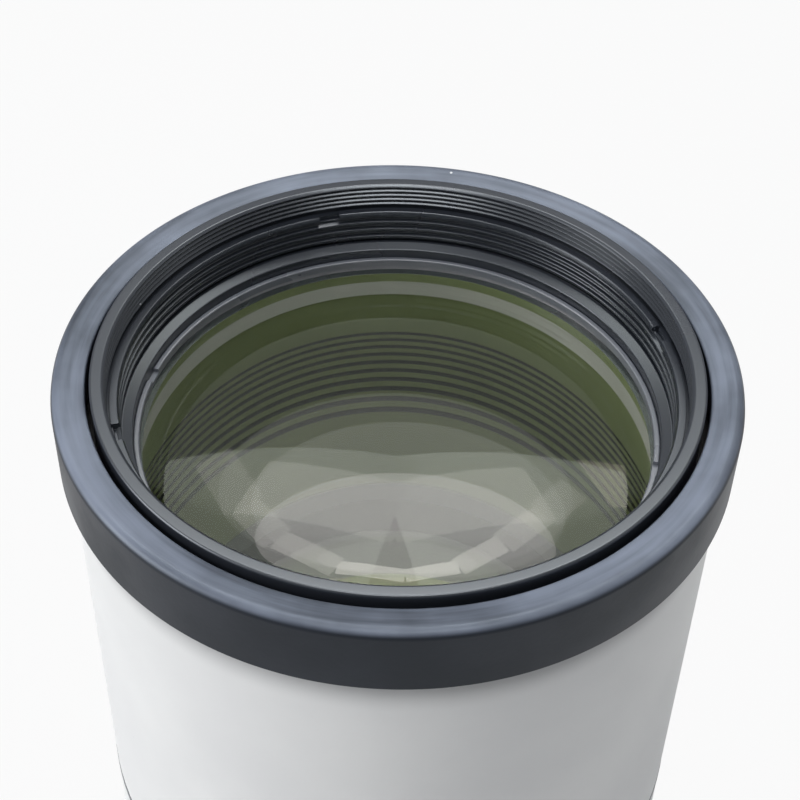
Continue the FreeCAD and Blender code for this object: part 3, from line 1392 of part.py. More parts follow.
def make_collar_cap():
    """The half that swings open. Its knuckle lies between the base's two."""
    arm = half_collar("cap", 270)
    lug = clamping_lug("cap_lug", -half_split - d.lug_thickness, -half_split)
    relieved = without("cap_relieved", joined("cap_whole", [arm, lug]), [
        hinge_cylinder("cap_room_rear", knuckle_clear, collar_rear, knuckle_rear + d.free_gap),
        hinge_cylinder("cap_room_front", knuckle_clear, knuckle_front - d.free_gap, collar_front),
    ])
    knuckle = hinge_cylinder("cap_knuckle", d.knuckle_radius, knuckle_rear + d.free_gap,
                             knuckle_front - d.free_gap)
    piece(without("cap_drilled", joined("cap_knuckled", [relieved, knuckle]), [
        hinge_cylinder("cap_pin_hole", d.hinge_pin_radius + d.run_gap, knuckle_rear, knuckle_front),
        cylinder("cap_screw_hole", d.collar_screw_radius + d.run_gap,
                 d.lug_thickness + d.free_gap * 2, d.screw_place,
                 -half_split - d.lug_thickness - d.free_gap, collar_middle, ALONG_Y),
    ]), "collar_cap")


def make_collar_knob():
    """A fluted knob on a hub, with the clamping screw fixed in its bore."""
    bore = d.collar_screw_radius
    depth = d.knob_length * 0.6
    total = d.knob_hub_length + d.knob_length
    body = turned("knob", [
        (bore, ZERO),
        (d.knob_hub_radius, ZERO),
        (d.knob_hub_radius, d.knob_hub_length),
        (d.knob_radius, d.knob_hub_length),
        (d.knob_radius, total - d.knob_flute_radius),
        (d.knob_radius - d.knob_flute_radius, total),
        (ZERO, total),
        (ZERO, depth),
        (bore, depth),
    ])
    far = d.knob_radius + d.knob_flute_radius
    half = d.knob_flute_radius / 2
    floor = d.knob_radius - half
    sketch = outline_sketch(body, "knob_flute_outline",
                            [(floor, -half), (far, -half), (far, half), (floor, half)], "XY_Plane")
    flute = body.newObject("PartDesign::Pocket", "knob_flute")
    flute.Profile = sketch
    flute.Reversed = True
    bind(flute, "Length", total)
    flutes = body.newObject("PartDesign::PolarPattern", "knob_flutes")
    flutes.Originals = [flute]
    flutes.Axis = (plane_of(body, "Z_Axis"), [""])
    flutes.Angle = FULL_TURN
    bind(flutes, "Occurrences", d.knob_flutes)
    body.Tip = flutes
    knob_seat = half_split + d.lug_thickness + d.run_gap
    place(body, d.screw_place, -knob_seat, collar_middle, Rotation(ALONG_X, 90))
    piece(body, "collar_knob")
    piece(cylinder("clamping_screw", d.collar_screw_radius,
                   knob_seat + depth + half_split + d.lug_thickness, d.screw_place,
                   -knob_seat - depth, collar_middle, ALONG_Y), "collar_screw")


make_mount_plate()
make_mount_screws()
make_rear_baffle()
make_contacts()
make_circuit_board()
make_rear_barrel()
make_rear_cell()
make_main_barrel()
make_distance_window()
make_switch_panel()
make_switch("focus_mode_switch", d.mode_switch_place)
make_switch("focus_range_switch", d.range_switch_place)
make_focus_ring()
make_focus_grip()
make_barrel_ring()
make_front_barrel()
make_filter_ring()
make_front_baffle()
make_front_element()
make_front_cell()
make_front_retainer()
make_group_cell()
make_second_group()
make_hood()
make_hood_bumper()
make_inner_barrel()
make_cam_ring()
make_distance_scale()
make_focus_cell()
make_motor()
make_iris_housing()
for blade_number in range(BLADES):
    make_iris_blade(blade_number)
make_iris_drive_ring()
make_collar_base()
make_collar_cap()
make_collar_knob()

doc.recompute()

for thing in doc.Objects:
    if "Invalid" in thing.State or "Error" in thing.State:
        raise RuntimeError(f"{thing.Label}: {thing.State}")
for thing in pieces:
    if thing.Shape.isNull() or not thing.Shape.isValid():
        raise RuntimeError(f"{thing.Label} has no valid shape")

os.makedirs("parts", exist_ok=True)
for thing in pieces:
    thing.Shape.exportStep(f"parts/{thing.Label}.step")
print(len(pieces), "pieces")
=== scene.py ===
# %% [markdown]
# # A telephoto lens, seen over its front
#
# The lens stands on its camera mount and is looked at from above its front end.
# Every measured piece comes in as a mesh from the construction model, already in
# place. This lesson gives the pieces their finish. Pieces that are seen from close
# by are made again with the soft edges that turned and moulded parts have.

# %% Load the measured pieces
import json
import math

import bmesh
import bpy
from mathutils import Matrix, Quaternion, Vector

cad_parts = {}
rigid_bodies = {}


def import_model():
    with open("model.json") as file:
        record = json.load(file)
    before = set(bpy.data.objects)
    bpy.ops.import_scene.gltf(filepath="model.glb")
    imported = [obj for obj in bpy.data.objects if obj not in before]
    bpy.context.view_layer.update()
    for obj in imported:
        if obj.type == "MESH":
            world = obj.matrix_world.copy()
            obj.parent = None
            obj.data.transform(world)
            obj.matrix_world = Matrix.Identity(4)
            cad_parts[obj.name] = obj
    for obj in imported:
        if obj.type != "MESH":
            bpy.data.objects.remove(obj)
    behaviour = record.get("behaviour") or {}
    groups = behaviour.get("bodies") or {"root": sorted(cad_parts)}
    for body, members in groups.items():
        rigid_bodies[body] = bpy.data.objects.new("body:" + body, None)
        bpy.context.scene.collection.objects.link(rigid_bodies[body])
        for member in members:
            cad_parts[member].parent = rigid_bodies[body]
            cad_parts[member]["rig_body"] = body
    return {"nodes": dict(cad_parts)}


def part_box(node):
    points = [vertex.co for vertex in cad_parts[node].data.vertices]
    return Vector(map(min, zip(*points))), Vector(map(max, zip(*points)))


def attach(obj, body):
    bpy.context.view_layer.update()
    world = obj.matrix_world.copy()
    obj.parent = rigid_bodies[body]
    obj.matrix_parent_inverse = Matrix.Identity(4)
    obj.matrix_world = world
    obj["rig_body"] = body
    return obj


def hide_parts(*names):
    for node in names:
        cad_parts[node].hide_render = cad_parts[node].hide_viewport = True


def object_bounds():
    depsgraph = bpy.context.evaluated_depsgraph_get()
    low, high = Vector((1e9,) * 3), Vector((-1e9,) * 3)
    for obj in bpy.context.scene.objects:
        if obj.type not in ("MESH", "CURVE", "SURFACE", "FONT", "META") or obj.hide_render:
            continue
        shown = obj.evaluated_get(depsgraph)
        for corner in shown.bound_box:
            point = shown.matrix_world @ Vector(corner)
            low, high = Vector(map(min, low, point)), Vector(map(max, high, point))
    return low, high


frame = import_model()
nodes = frame["nodes"]
measured_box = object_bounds()
MM = 0.001


# %% [markdown]
# ## Building a finish from nodes
#
# A finish is a small graph of nodes. It could be clicked together in the editor,
# but most finishes here share the same few steps, so short helpers add a node and
# wire it up. Plain values are set straight on the sockets.

# %% Helpers that add and wire nodes
def add_node(tree, kind, **settings):
    node = tree.nodes.new(kind)
    for name, value in settings.items():
        setattr(node, name, value)
    return node


def feed(tree, socket, source):
    """Wire a socket to another node's output, or set its value."""
    if isinstance(source, bpy.types.NodeSocket):
        tree.links.new(source, socket)
    else:
        socket.default_value = source


def screen_colour(red, green, blue):
    """A colour as it looks on a screen, 0 to 255, in the shader's own scale (sRGB curve)."""
    def straight(part):
        part = part / 255
        return part / 12.92 if part <= 0.04045 else ((part + 0.055) / 1.055) ** 2.4
    return (straight(red), straight(green), straight(blue), 1)


def start_group(name, inputs, outputs):
    """An empty node group; sockets are given as (name, kind), inputs also with a value."""
    group = bpy.data.node_groups.new(name, "ShaderNodeTree")
    for label, kind, value in inputs:
        socket = group.interface.new_socket(label, in_out="INPUT", socket_type=kind)
        socket.default_value = value
    for label, kind in outputs:
        group.interface.new_socket(label, in_out="OUTPUT", socket_type=kind)
    return group, add_node(group, "NodeGroupInput"), add_node(group, "NodeGroupOutput")


NUMBER = "NodeSocketFloat"
COLOUR = "NodeSocketColor"


def noise(tree, scale, detail=3, vector=None):
    """Noise on Object coordinates, so that it sits still on the piece."""
    texture = add_node(tree, "ShaderNodeTexNoise")
    texture.inputs["Detail"].default_value = detail
    feed(tree, texture.inputs["Scale"], scale)
    if vector is None:
        vector = add_node(tree, "ShaderNodeTexCoord").outputs["Object"]
    feed(tree, texture.inputs["Vector"], vector)
    return texture.outputs["Fac"]


def spread(tree, value, low, high, to_low=0.0, to_high=1.0):
    """Stretch a value from low..high to another range, clamped, with soft ends."""
    stretch = add_node(tree, "ShaderNodeMapRange", interpolation_type="SMOOTHSTEP")
    feed(tree, stretch.inputs["Value"], value)
    feed(tree, stretch.inputs["From Min"], low)
    feed(tree, stretch.inputs["From Max"], high)
    feed(tree, stretch.inputs["To Min"], to_low)
    feed(tree, stretch.inputs["To Max"], to_high)
    return stretch.outputs["Result"]


def sums(tree, operation, first, second):
    """One sum on two numbers."""
    node = add_node(tree, "ShaderNodeMath", operation=operation)
    feed(tree, node.inputs[0], first)
    feed(tree, node.inputs[1], second)
    return node.outputs["Value"]


def blend_colours(tree, amount, first, second):
    mix = add_node(tree, "ShaderNodeMix", data_type="RGBA")
    feed(tree, mix.inputs[0], amount)
    feed(tree, mix.inputs[6], first)
    feed(tree, mix.inputs[7], second)
    return mix.outputs[2]


# %% [markdown]
# ## Grain
#
# Paint, rubber, anodising and moulded plastic all have a fine grain, only at other
# sizes and depths. A picture of each could be wrapped round the pieces, but noise
# needs no unwrapping and has no seams. One group makes the grain, and each finish
# places it with its own numbers.

# %% A node group: grain, with a tone that wanders
def make_grain_group():
    group, given, out = start_group("grain", [
        ("Grain scale", NUMBER, 3000), ("Patch scale", NUMBER, 60),
        ("Light tone", COLOUR, (1, 1, 1, 1)), ("Dark tone", COLOUR, (0, 0, 0, 1)),
    ], [("Colour", COLOUR), ("Height", NUMBER), ("Patches", NUMBER)])
    fine = noise(group, given.outputs["Grain scale"], 3)
    broad = noise(group, given.outputs["Patch scale"], 5)
    wander = spread(group, broad, 0.3, 0.7)
    feed(group, out.inputs["Colour"],
         blend_colours(group, wander, given.outputs["Light tone"], given.outputs["Dark tone"]))
    feed(group, out.inputs["Height"], fine)
    feed(group, out.inputs["Patches"], wander)
    return group


grain_group = make_grain_group()
print("grain group:", len(grain_group.nodes), "nodes")


# %% [markdown]
# ## Dust, rubbed places and painted sheen
#
# A used lens has specks of dust, and rubber turns pale where it is rubbed; on the
# bumper's top the pale tone also paints the sheen of the light from above. Dust is
# round and rare, so it comes from Voronoi cells: a speck at each cell's point, kept
# only in the few cells whose random colour is high. Noise would give blots of every
# shape instead.

# %% Node group: dust specks
def make_dust_group():
    group, given, out = start_group("dust", [
        ("Cells per metre", NUMBER, 300), ("Speck", NUMBER, 0.08), ("Rarity", NUMBER, 0.9),
    ], [("Mask", NUMBER)])
    cells = add_node(group, "ShaderNodeTexVoronoi")
    feed(group, cells.inputs["Vector"], add_node(group, "ShaderNodeTexCoord").outputs["Object"])
    feed(group, cells.inputs["Scale"], given.outputs["Cells per metre"])
    chance = add_node(group, "ShaderNodeSeparateColor")
    feed(group, chance.inputs["Color"], cells.outputs["Color"])
    kept = sums(group, "GREATER_THAN", chance.outputs["Red"], given.outputs["Rarity"])
    size = sums(group, "MULTIPLY", given.outputs["Speck"], chance.outputs["Green"])
    inside = sums(group, "LESS_THAN", cells.outputs["Distance"], size)
    feed(group, out.inputs["Mask"], sums(group, "MULTIPLY", kept, inside))
    return group


dust_group = make_dust_group()
print("dust group:", len(dust_group.nodes), "nodes")


# %% [markdown]
# Rubbed places are long streaks that follow the ring, so their noise is stretched
# round the axis and mixed with plain patches. A switch keeps them to faces that look
# up, because those are the ones that a hand or a bag rubs. On the bumper that pale
# tone on the top faces is also painted sheen, for the light that falls on them.

# %% Node group: rubbed streaks, also used as painted sheen
STREAKS_ALONG = 60.0
STREAKS_ACROSS = 900.0
STREAK_SHARE = 0.3
PATCHES_PER_METRE = 45.0
SIDE_FACING, TOP_FACING = 0.3, 0.8


def make_rubbed_group():
    group, given, out = start_group("wear_and_sheen", [
        ("From", NUMBER, 0.55), ("To", NUMBER, 0.75), ("Top only", NUMBER, 0.0),
    ], [("Mask", NUMBER)])
    place = add_node(group, "ShaderNodeSeparateXYZ")
    feed(group, place.inputs["Vector"], add_node(group, "ShaderNodeTexCoord").outputs["Object"])
    x, y, z = (place.outputs[axis] for axis in "XYZ")
    radius = sums(group, "SQRT", sums(group, "ADD", sums(group, "MULTIPLY", x, x),
                                      sums(group, "MULTIPLY", y, y)), 0.0)
    along = add_node(group, "ShaderNodeCombineXYZ")
    feed(group, along.inputs["X"], sums(group, "MULTIPLY", x, STREAKS_ALONG))
    feed(group, along.inputs["Y"], sums(group, "MULTIPLY", y, STREAKS_ALONG))
    feed(group, along.inputs["Z"],
         sums(group, "MULTIPLY", sums(group, "ADD", radius, z), STREAKS_ACROSS))
    streaks = noise(group, 1.0, 4, along.outputs["Vector"])
    patches = noise(group, PATCHES_PER_METRE, 4)
    both = sums(group, "ADD", sums(group, "MULTIPLY", streaks, STREAK_SHARE),
                sums(group, "MULTIPLY", patches, 1 - STREAK_SHARE))
    wear_and_sheen_share = spread(group, both, given.outputs["From"], given.outputs["To"])
    # Faces that look up; on the bumper the pale tone there is also painted sheen
    facing = add_node(group, "ShaderNodeSeparateXYZ")
    feed(group, facing.inputs["Vector"], add_node(group, "ShaderNodeNewGeometry").outputs["Normal"])
    upward = spread(group, facing.outputs["Z"], SIDE_FACING, TOP_FACING)
    anywhere = sums(group, "SUBTRACT", 1.0, given.outputs["Top only"])
    feed(group, out.inputs["Mask"],
         sums(group, "MULTIPLY", wear_and_sheen_share, sums(group, "MAXIMUM", upward, anywhere)))
    return group


wear_and_sheen_group = make_rubbed_group()
print("rubbed group:", len(wear_and_sheen_group.nodes), "nodes")


# %% [markdown]
# ## One recipe for most finishes
#
# Painted metal, anodised metal, plastic and rubber differ in tone, gloss and grain,
# and in how much dust and rubbing they show; on the bumper's top the pale rubbed tone
# is also painted sheen. One function builds them all, so that a finish is one line of
# numbers, and bare metal only adds the Metallic value. A finish may also carry painted
# shade, which darkens it between two heights, as under the bumper's edge.

# %% A finish with grain, dust, rubbed streaks with painted sheen, and painted shade
DUST_COLOUR = screen_colour(196, 198, 202)
DUST_CELLS_PER_METRE = 420
DUST_SPECK = 0.09
DUST_ROUGHNESS = 0.8
# The tone that the painted shade darkens towards
PAINTED_SHADE_COLOUR = screen_colour(64, 66, 74)
SMOOTHEST_SHARE, ROUGHEST_SHARE = 0.88, 1.1
BUMP_STRENGTH = 0.6


def finish(name, light, dark, roughness, grain_scale=3000, patch_scale=60, depth=0.01,
           metal=0.0, dusty=0.0, wear_and_sheen=0.0, wear_and_sheen_from=0.52, wear_and_sheen_to=0.7,
           pale=(150, 156, 168), top_only=0.0, shine=0.5, sheen_tint=(1, 1, 1), painted_shade=None):
    """A material from two tones, a roughness, noise per metre and a grain depth in mm.

    painted_shade is (height where it starts, height where it is full, amount), in millimetres; it
    paints a shadow by darkening the tone between the two heights.
    """
    material = bpy.data.materials.new(name)
    material.use_nodes = True
    tree = material.node_tree
    shader = tree.nodes["Principled BSDF"]
    grain = add_node(tree, "ShaderNodeGroup", node_tree=grain_group)
    grain.inputs["Grain scale"].default_value = grain_scale
    grain.inputs["Patch scale"].default_value = patch_scale
    grain.inputs["Light tone"].default_value = screen_colour(*light)
    grain.inputs["Dark tone"].default_value = screen_colour(*dark)
    tone = grain.outputs["Colour"]
    rough = spread(tree, grain.outputs["Patches"], 0, 1,
                   roughness * SMOOTHEST_SHARE, roughness * ROUGHEST_SHARE)
    # Pale tone: wear, and on the bumper's top also painted sheen for light from above
    if wear_and_sheen:
        wear_sheen_node = add_node(tree, "ShaderNodeGroup", node_tree=wear_and_sheen_group)
        wear_sheen_node.inputs["From"].default_value = wear_and_sheen_from
        wear_sheen_node.inputs["To"].default_value = wear_and_sheen_to
        wear_sheen_node.inputs["Top only"].default_value = top_only
        wear_and_sheen_share = sums(tree, "MULTIPLY", wear_sheen_node.outputs["Mask"], wear_and_sheen)
        tone = blend_colours(tree, wear_and_sheen_share, tone, screen_colour(*pale))
    if dusty:
        dust = add_node(tree, "ShaderNodeGroup", node_tree=dust_group)
        dust.inputs["Cells per metre"].default_value = DUST_CELLS_PER_METRE
        dust.inputs["Speck"].default_value = DUST_SPECK
        dust.inputs["Rarity"].default_value = 1 - dusty
        tone = blend_colours(tree, dust.outputs["Mask"], tone, DUST_COLOUR)
        rough = sums(tree, "MAXIMUM", rough,
                     sums(tree, "MULTIPLY", dust.outputs["Mask"], DUST_ROUGHNESS))
    # Painted shade: the tone darkens between two heights, for the shadow under an edge
    if painted_shade:
        low, high, amount = painted_shade
        place = add_node(tree, "ShaderNodeSeparateXYZ")
        feed(tree, place.inputs["Vector"], add_node(tree, "ShaderNodeTexCoord").outputs["Object"])
        shade_share = spread(tree, place.outputs["Z"], low * MM, high * MM, 0.0, amount)
        tone = blend_colours(tree, shade_share, tone, PAINTED_SHADE_COLOUR)
    feed(tree, shader.inputs["Base Color"], tone)
    feed(tree, shader.inputs["Roughness"], rough)
    bump = add_node(tree, "ShaderNodeBump")
    bump.inputs["Strength"].default_value = BUMP_STRENGTH
    bump.inputs["Distance"].default_value = depth * MM
    feed(tree, bump.inputs["Height"], grain.outputs["Height"])
    feed(tree, shader.inputs["Normal"], bump.outputs["Normal"])
    shader.inputs["Metallic"].default_value = metal
    shader.inputs["Specular IOR Level"].default_value = shine
    shader.inputs["Specular Tint"].default_value = (*sheen_tint, 1)
    return material


# %% [markdown]
# ## The finishes of this lens
#
# The construction model names the slot of each piece after what it is made of. Each
# slot gets its finish here, in the order name, light tone, dark tone, roughness,
# grain per metre, patches per metre and grain depth. The white tube is painted like
# the rest of the barrel, so both share one set of numbers.

# %% Finishes by slot
PAINTED_WHITE = dict(light=(232, 233, 233), dark=(224, 225, 226), roughness=0.45,
                     grain_scale=2600, patch_scale=30, depth=0.012, dusty=0.01)
finishes = {
    "white_paint": finish("lens_white", **PAINTED_WHITE),
    "black_paint": finish("satin_black", (36, 39, 46), (31, 34, 40), 0.3, 2600, 20, 0.003,
                          dusty=0.02, shine=0.9, sheen_tint=(0.88, 0.94, 1.0)),
    "black_anodised": finish("matt_black", (50, 51, 53), (41, 42, 44), 0.6, 3000, 30, 0.003,
                             shine=0.2),
    # The bumper's paler top is partly wear and partly painted sheen for the light from above
    "bumper_rubber": finish("bumper_rubber", (22, 25, 34), (16, 19, 26), 0.42, 1500, 70, 0.02,
                            dusty=0.04, wear_and_sheen=0.8, wear_and_sheen_from=0.27, wear_and_sheen_to=0.72,
                            pale=(120, 128, 144), top_only=1.0, shine=0.4,
                            sheen_tint=(0.8, 0.9, 1.0)),
    "grip_rubber": finish("grip_rubber", (48, 49, 52), (38, 39, 42), 0.7, 1500, 60, 0.03,
                          dusty=0.05, wear_and_sheen=0.05),
    "black_plastic": finish("moulded_black", (44, 44, 46), (36, 36, 38), 0.5, 1800, 60, 0.02,
                            dusty=0.02, wear_and_sheen=0.08),
    "switch_plastic": finish("switch_black", (62, 62, 64), (50, 50, 52), 0.45, 1800, 60, 0.02),
    "scale_paint": finish("scale_black", (40, 40, 42), (32, 32, 34), 0.6, 2500, 60, 0.01),
    "board_green": finish("board_green", (34, 84, 54), (24, 66, 42), 0.45, 900, 200, 0.02),
    "blade_metal": finish("blade_black", (56, 56, 58), (44, 44, 46), 0.45, 2500, 60, 0.01,
                          metal=0.6),
    "bare_steel": finish("bright_mount", (204, 202, 196), (186, 184, 178), 0.24, 3000, 60, 0.003,
                         metal=1.0, wear_and_sheen=0.1),
    "screw_steel": finish("dark_screw", (118, 118, 121), (94, 94, 97), 0.35, 3000, 60, 0.004,
                          metal=1.0),
    "contact_gold": finish("contact_gold", (232, 190, 106), (212, 170, 90), 0.25, 3000, 60,
                           0.003, metal=1.0),
    "trim_metal": finish("trim_grey", (126, 128, 133), (106, 108, 113), 0.35, 2500, 60, 0.006,
                         metal=1.0),
    "motor_metal": finish("motor_steel", (176, 178, 180), (158, 160, 162), 0.35, 2500, 60,
                          0.006, metal=1.0),
    "brass_metal": finish("brass", (206, 170, 96), (188, 150, 80), 0.3, 2500, 60, 0.006,
                          metal=1.0),
}
print(len(finishes), "finishes for", len(nodes), "measured pieces")


# %% [markdown]
# ## Coated glass
#
# Lens glass is clear, but its coatings take most of the mirror image away and leave
# a faint tint. The shader's Specular Tint lowers the mirror image in the same way.
# Lamps reach what lies behind real glass by bent paths that are slow to find, so
# for shadow rays alone the glass is mixed with a plain see-through shader.

# %% Glass that lamps shine through
def make_glass(name, tint, coating, bend=1.5):
    material = bpy.data.materials.new(name)
    material.use_nodes = True
    tree = material.node_tree
    shader = tree.nodes["Principled BSDF"]
    shader.inputs["Base Color"].default_value = tint
    shader.inputs["Roughness"].default_value = 0.0
    shader.inputs["IOR"].default_value = bend
    shader.inputs["Specular Tint"].default_value = coating
    shader.inputs["Transmission Weight"].default_value = 1
    rays = add_node(tree, "ShaderNodeLightPath")
    clear = add_node(tree, "ShaderNodeBsdfTransparent")
    clear.inputs["Color"].default_value = tint
    mix = add_node(tree, "ShaderNodeMixShader")
    feed(tree, mix.inputs[0], rays.outputs["Is Shadow Ray"])
    feed(tree, mix.inputs[1], shader.outputs["BSDF"])
    feed(tree, mix.inputs[2], clear.outputs["BSDF"])
    feed(tree, tree.nodes["Material Output"].inputs["Surface"], mix.outputs["Shader"])
    return material


GREENISH = (0.95, 0.98, 0.90, 1)
outer_glass = make_glass("outer_glass", GREENISH, coating=(0.75, 0.75, 0.73, 1))
inner_glass = make_glass("inner_glass", GREENISH, coating=(0.12, 0.16, 0.10, 1))
group_glass = make_glass("group_glass", (0.95, 0.98, 0.92, 1), coating=(0.35, 0.32, 0.38, 1))
finishes["coated_glass"] = group_glass
finishes["clear_pane"] = make_glass("clear_pane", (0.96, 0.97, 0.97, 1), (1, 1, 1, 1), bend=1.49)
print(len(finishes), "finishes, with glass")


# %% [markdown]
# ## Finishes for parts of a piece
#
# Some pieces have a second finish on a few faces, or look different from others of
# the same metal: the ground edge of a lens, the dead black in a groove that paints its
# shade, the olive bore behind the glass that is lighter as a painted reflection, the
# pale grey crescent of painted highlight at its rear end, and the hood's white with
# painted shade under the bumper. They have no slot of their own and are picked by name
# when the piece is made.

# %% Second finishes
# The hood tube's white darkens towards the bumper: painted shade for the shadow under the bumper's
# edge
hood_white_shaded = finish("hood_white_shaded", **PAINTED_WHITE, painted_shade=(239.5, 245.5, 0.45))
# The bore is a lighter olive than black metal: painted reflection for the haze that the coatings
# send back
bore_painted_haze = finish("bore_painted_haze", (101, 107, 79), (94, 100, 72), 0.6, 3000, 30, 0.003, shine=0.15)
scale_white = finish("scale_white", (222, 222, 216), (212, 212, 206), 0.6, 2500, 60, 0.003)
edge_black = finish("edge_black", (22, 22, 23), (16, 16, 17), 0.8, 3000, 60, 0.01)
ground_edge = finish("ground_edge", (124, 122, 132), (116, 114, 124), 0.8, 3000, 30, 0.003,
                     shine=0.2)
# Pale grey on the black cell's rear cone: a painted highlight for the light it mirrors
cell_painted_highlight = finish("cell_painted_highlight", (140, 138, 142), (132, 130, 134), 0.55, 3000, 30, 0.003,
                   shine=0.2)
retainer_grey = finish("retainer_grey", (98, 102, 110), (90, 94, 101), 0.3, 3000, 30, 0.003,
                       shine=0.9)
print(len(bpy.data.materials), "materials in all")


# %% [markdown]
# ## From slot to finish
#
# The measured pieces come with plain materials that are named after their slots, and
# copies of one name end in a dot and a number. What stands before the dot is looked
# up, so a piece that is left as it was measured gets its finish too.

# %% Put the finishes in the slots of the measured pieces
filled = 0
for node in nodes.values():
    for slot in node.material_slots:
        slot.material = finishes[slot.material.name.split(".")[0]]
        filled += 1
print(filled, "slots filled")


# %% [markdown]
# ## From an outline to a ring
#
# Nearly every piece of a lens is turned on a lathe, and so it is made here: half of
# its cross-section is drawn as one flat face, the corners that the tool leaves
# rounded are bevelled while they are still single points, and the outline is spun
# round the optical axis. Bevelling the finished ring would also work, but it would
# have to find the same few edges among thousands.

# %% Turn a mesh into a finished piece
SHARP_ANGLE = math.radians(32)


def finished(name, shape, materials, node, slot=None):
    """Make the object, let it stand for a measured piece and move with its group."""
    mesh = bpy.data.meshes.new(name)
    shape.to_mesh(mesh)
    shape.free()
    for leftover in ("custom_normal", "sharp_face"):
        if leftover in mesh.attributes:
            mesh.attributes.remove(mesh.attributes[leftover])
    for material in materials:
        mesh.materials.append(material)
    mesh.shade_smooth()
    mesh.set_sharp_from_angle(angle=SHARP_ANGLE)
    piece = bpy.data.objects.new(name, mesh)
    bpy.context.scene.collection.objects.link(piece)
    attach(piece, nodes[node]["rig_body"])
    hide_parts(node)
    if slot is None:
        measured_finish = nodes[node].material_slots[0].material.name
        slot = next(key for key, made in finishes.items() if made.name == measured_finish)
    return piece


def even_shading(piece):
    """Let the large faces decide the shading, so that flats look flat beside round edges."""
    weighting = piece.modifiers.new("even_shading", "WEIGHTED_NORMAL")
    weighting.keep_sharp = True
    weighting.weight = 100


# %% [markdown]
# The spin turns the outline in many small steps and joins the last step to the
# first. Points on the axis come out many times over, so points that coincide are
# merged afterwards. Faces that need another finish are picked by where they lie.

# %% Spin an outline into a ring
FULL_TURN = 2 * math.pi
AXIS = (0, 0, 1)
RING_STEPS = 240
SAME_POINT = 1e-7


def spin_outline(shape, steps):
    bmesh.ops.spin(shape, geom=shape.verts[:] + shape.edges[:], cent=(0, 0, 0), axis=AXIS,
                   dvec=(0, 0, 0), angle=FULL_TURN, steps=steps, use_merge=True)
    bmesh.ops.remove_doubles(shape, verts=shape.verts[:], dist=SAME_POINT)
    bmesh.ops.recalc_face_normals(shape, faces=shape.faces[:])


def spun(name, node, outline, material, zones=()):
    """A ring from (radius, height) or (radius, height, rounding) corners in millimetres.

    Each zone is (material, radii, heights), for the faces that have another finish.
    """
    shape = bmesh.new()
    corners = [shape.verts.new((corner[0] * MM, 0, corner[1] * MM)) for corner in outline]
    shape.faces.new(corners)
    for vertex, corner in zip(corners, outline):
        if len(corner) == 3:
            bmesh.ops.bevel(shape, geom=[vertex], offset=corner[2] * MM, offset_type="OFFSET",
                            affect="VERTICES", segments=4, profile=0.5, material=-1)
    bmesh.ops.delete(shape, geom=shape.faces[:], context="FACES_ONLY")
    spin_outline(shape, RING_STEPS)
    for number, (_, (inner, outer), (low, high)) in enumerate(zones, start=1):
        for face in shape.faces:
            middle = face.calc_center_median() / MM
            if inner < middle.xy.length < outer and low < middle.z < high:
                face.material_index = number
    materials = [material] + [zone[0] for zone in zones]
    piece = finished(name, shape, materials, node)
    even_shading(piece)
    print(f"{name}: {len(piece.data.polygons)} faces")


# %% [markdown]
# ## The rubber bumper
#
# The bumper is a rubber ring pressed over the front of the hood. Its top slopes in
# a little, its outer edge is well rounded, and its skirt ends in a step that throws
# a thin shadow on the tube. Painted shade in the tube's white deepens that shadow,
# and the pale tone on the bumper's top is partly wear and partly painted sheen.

# %% Bumper
spun("rubber_bumper", "hood_bumper", [
    (40.6, 253.4), (43.7, 253.4), (43.7, 245.75, 0.1), (45.0, 245.75, 0.3),
    (45.0, 255.85, 1.15), (43.6, 255.812, 0.3), (40.6, 255.35, 0.35),
], finishes["bumper_rubber"])


# %% [markdown]
# ## The filter ring
#
# The rim is a narrow flat face with a rounded outer edge. Inside it are the thread
# for filters, a relief behind the thread, and the bore that holds the notched ring.
# The thread is drawn as five rings, as the measured piece has it. Its crests are
# rounded a little, because that is what makes them shine as fine bright lines.

# %% Filter ring with its thread
FIRST_CREST = 256.115
THREAD_PITCH = 0.75
THREAD_TURNS = 5
LAND = 0.075
CREST_ROUNDING = 0.04
CREST_RADIUS, ROOT_RADIUS = 38.1, 38.5
thread = []
for turn in range(THREAD_TURNS):
    crest = FIRST_CREST - THREAD_PITCH * turn
    thread += [(CREST_RADIUS, crest + LAND, CREST_ROUNDING),
               (CREST_RADIUS, crest - LAND, CREST_ROUNDING),
               (ROOT_RADIUS, crest - THREAD_PITCH / 2)]
spun("rim_and_thread", "filter_ring", [
    (37.6, 245.5), (38.85, 245.5), (38.85, 249.5), (40.0, 249.5, 0.1), (40.0, 256.5, 0.35),
    (38.45, 256.5, 0.1),
] + thread + [(ROOT_RADIUS, 252.665), (ROOT_RADIUS, 252.295), (37.6, 252.295)],
    finishes["black_paint"])


# %% [markdown]
# ## The front cell
#
# The cell holds the front glass. What shows of it is the sloped lip round the
# retaining ring and, through the glass, its bore. Behind the glass the bore looks
# olive, and its rear end is a pale grey crescent, so those faces are two zones with
# finishes of their own. The olive is lighter than black metal, a painted reflection of
# the haze from the coatings, and the crescent is a painted highlight.

# %% Front cell
spun("glass_cell", "front_cell", [
    (33.2, 233.2), (38.85, 233.2), (38.85, 245.3), (37.2, 245.3), (37.2, 247.35, 0.15),
    (36.6, 247.35, 0.12), (35.3, 246.75, 0.12), (35.3, 240.43), (33.9, 240.31),
    (33.9, 236.9, 0.2),
], finishes["black_paint"], zones=[
    # painted reflection in the olive zone, painted highlight in the grey one
    (bore_painted_haze, (33, 34.5), (236.9, 240.38)), (cell_painted_highlight, (33, 34), (233, 236.95)),
])


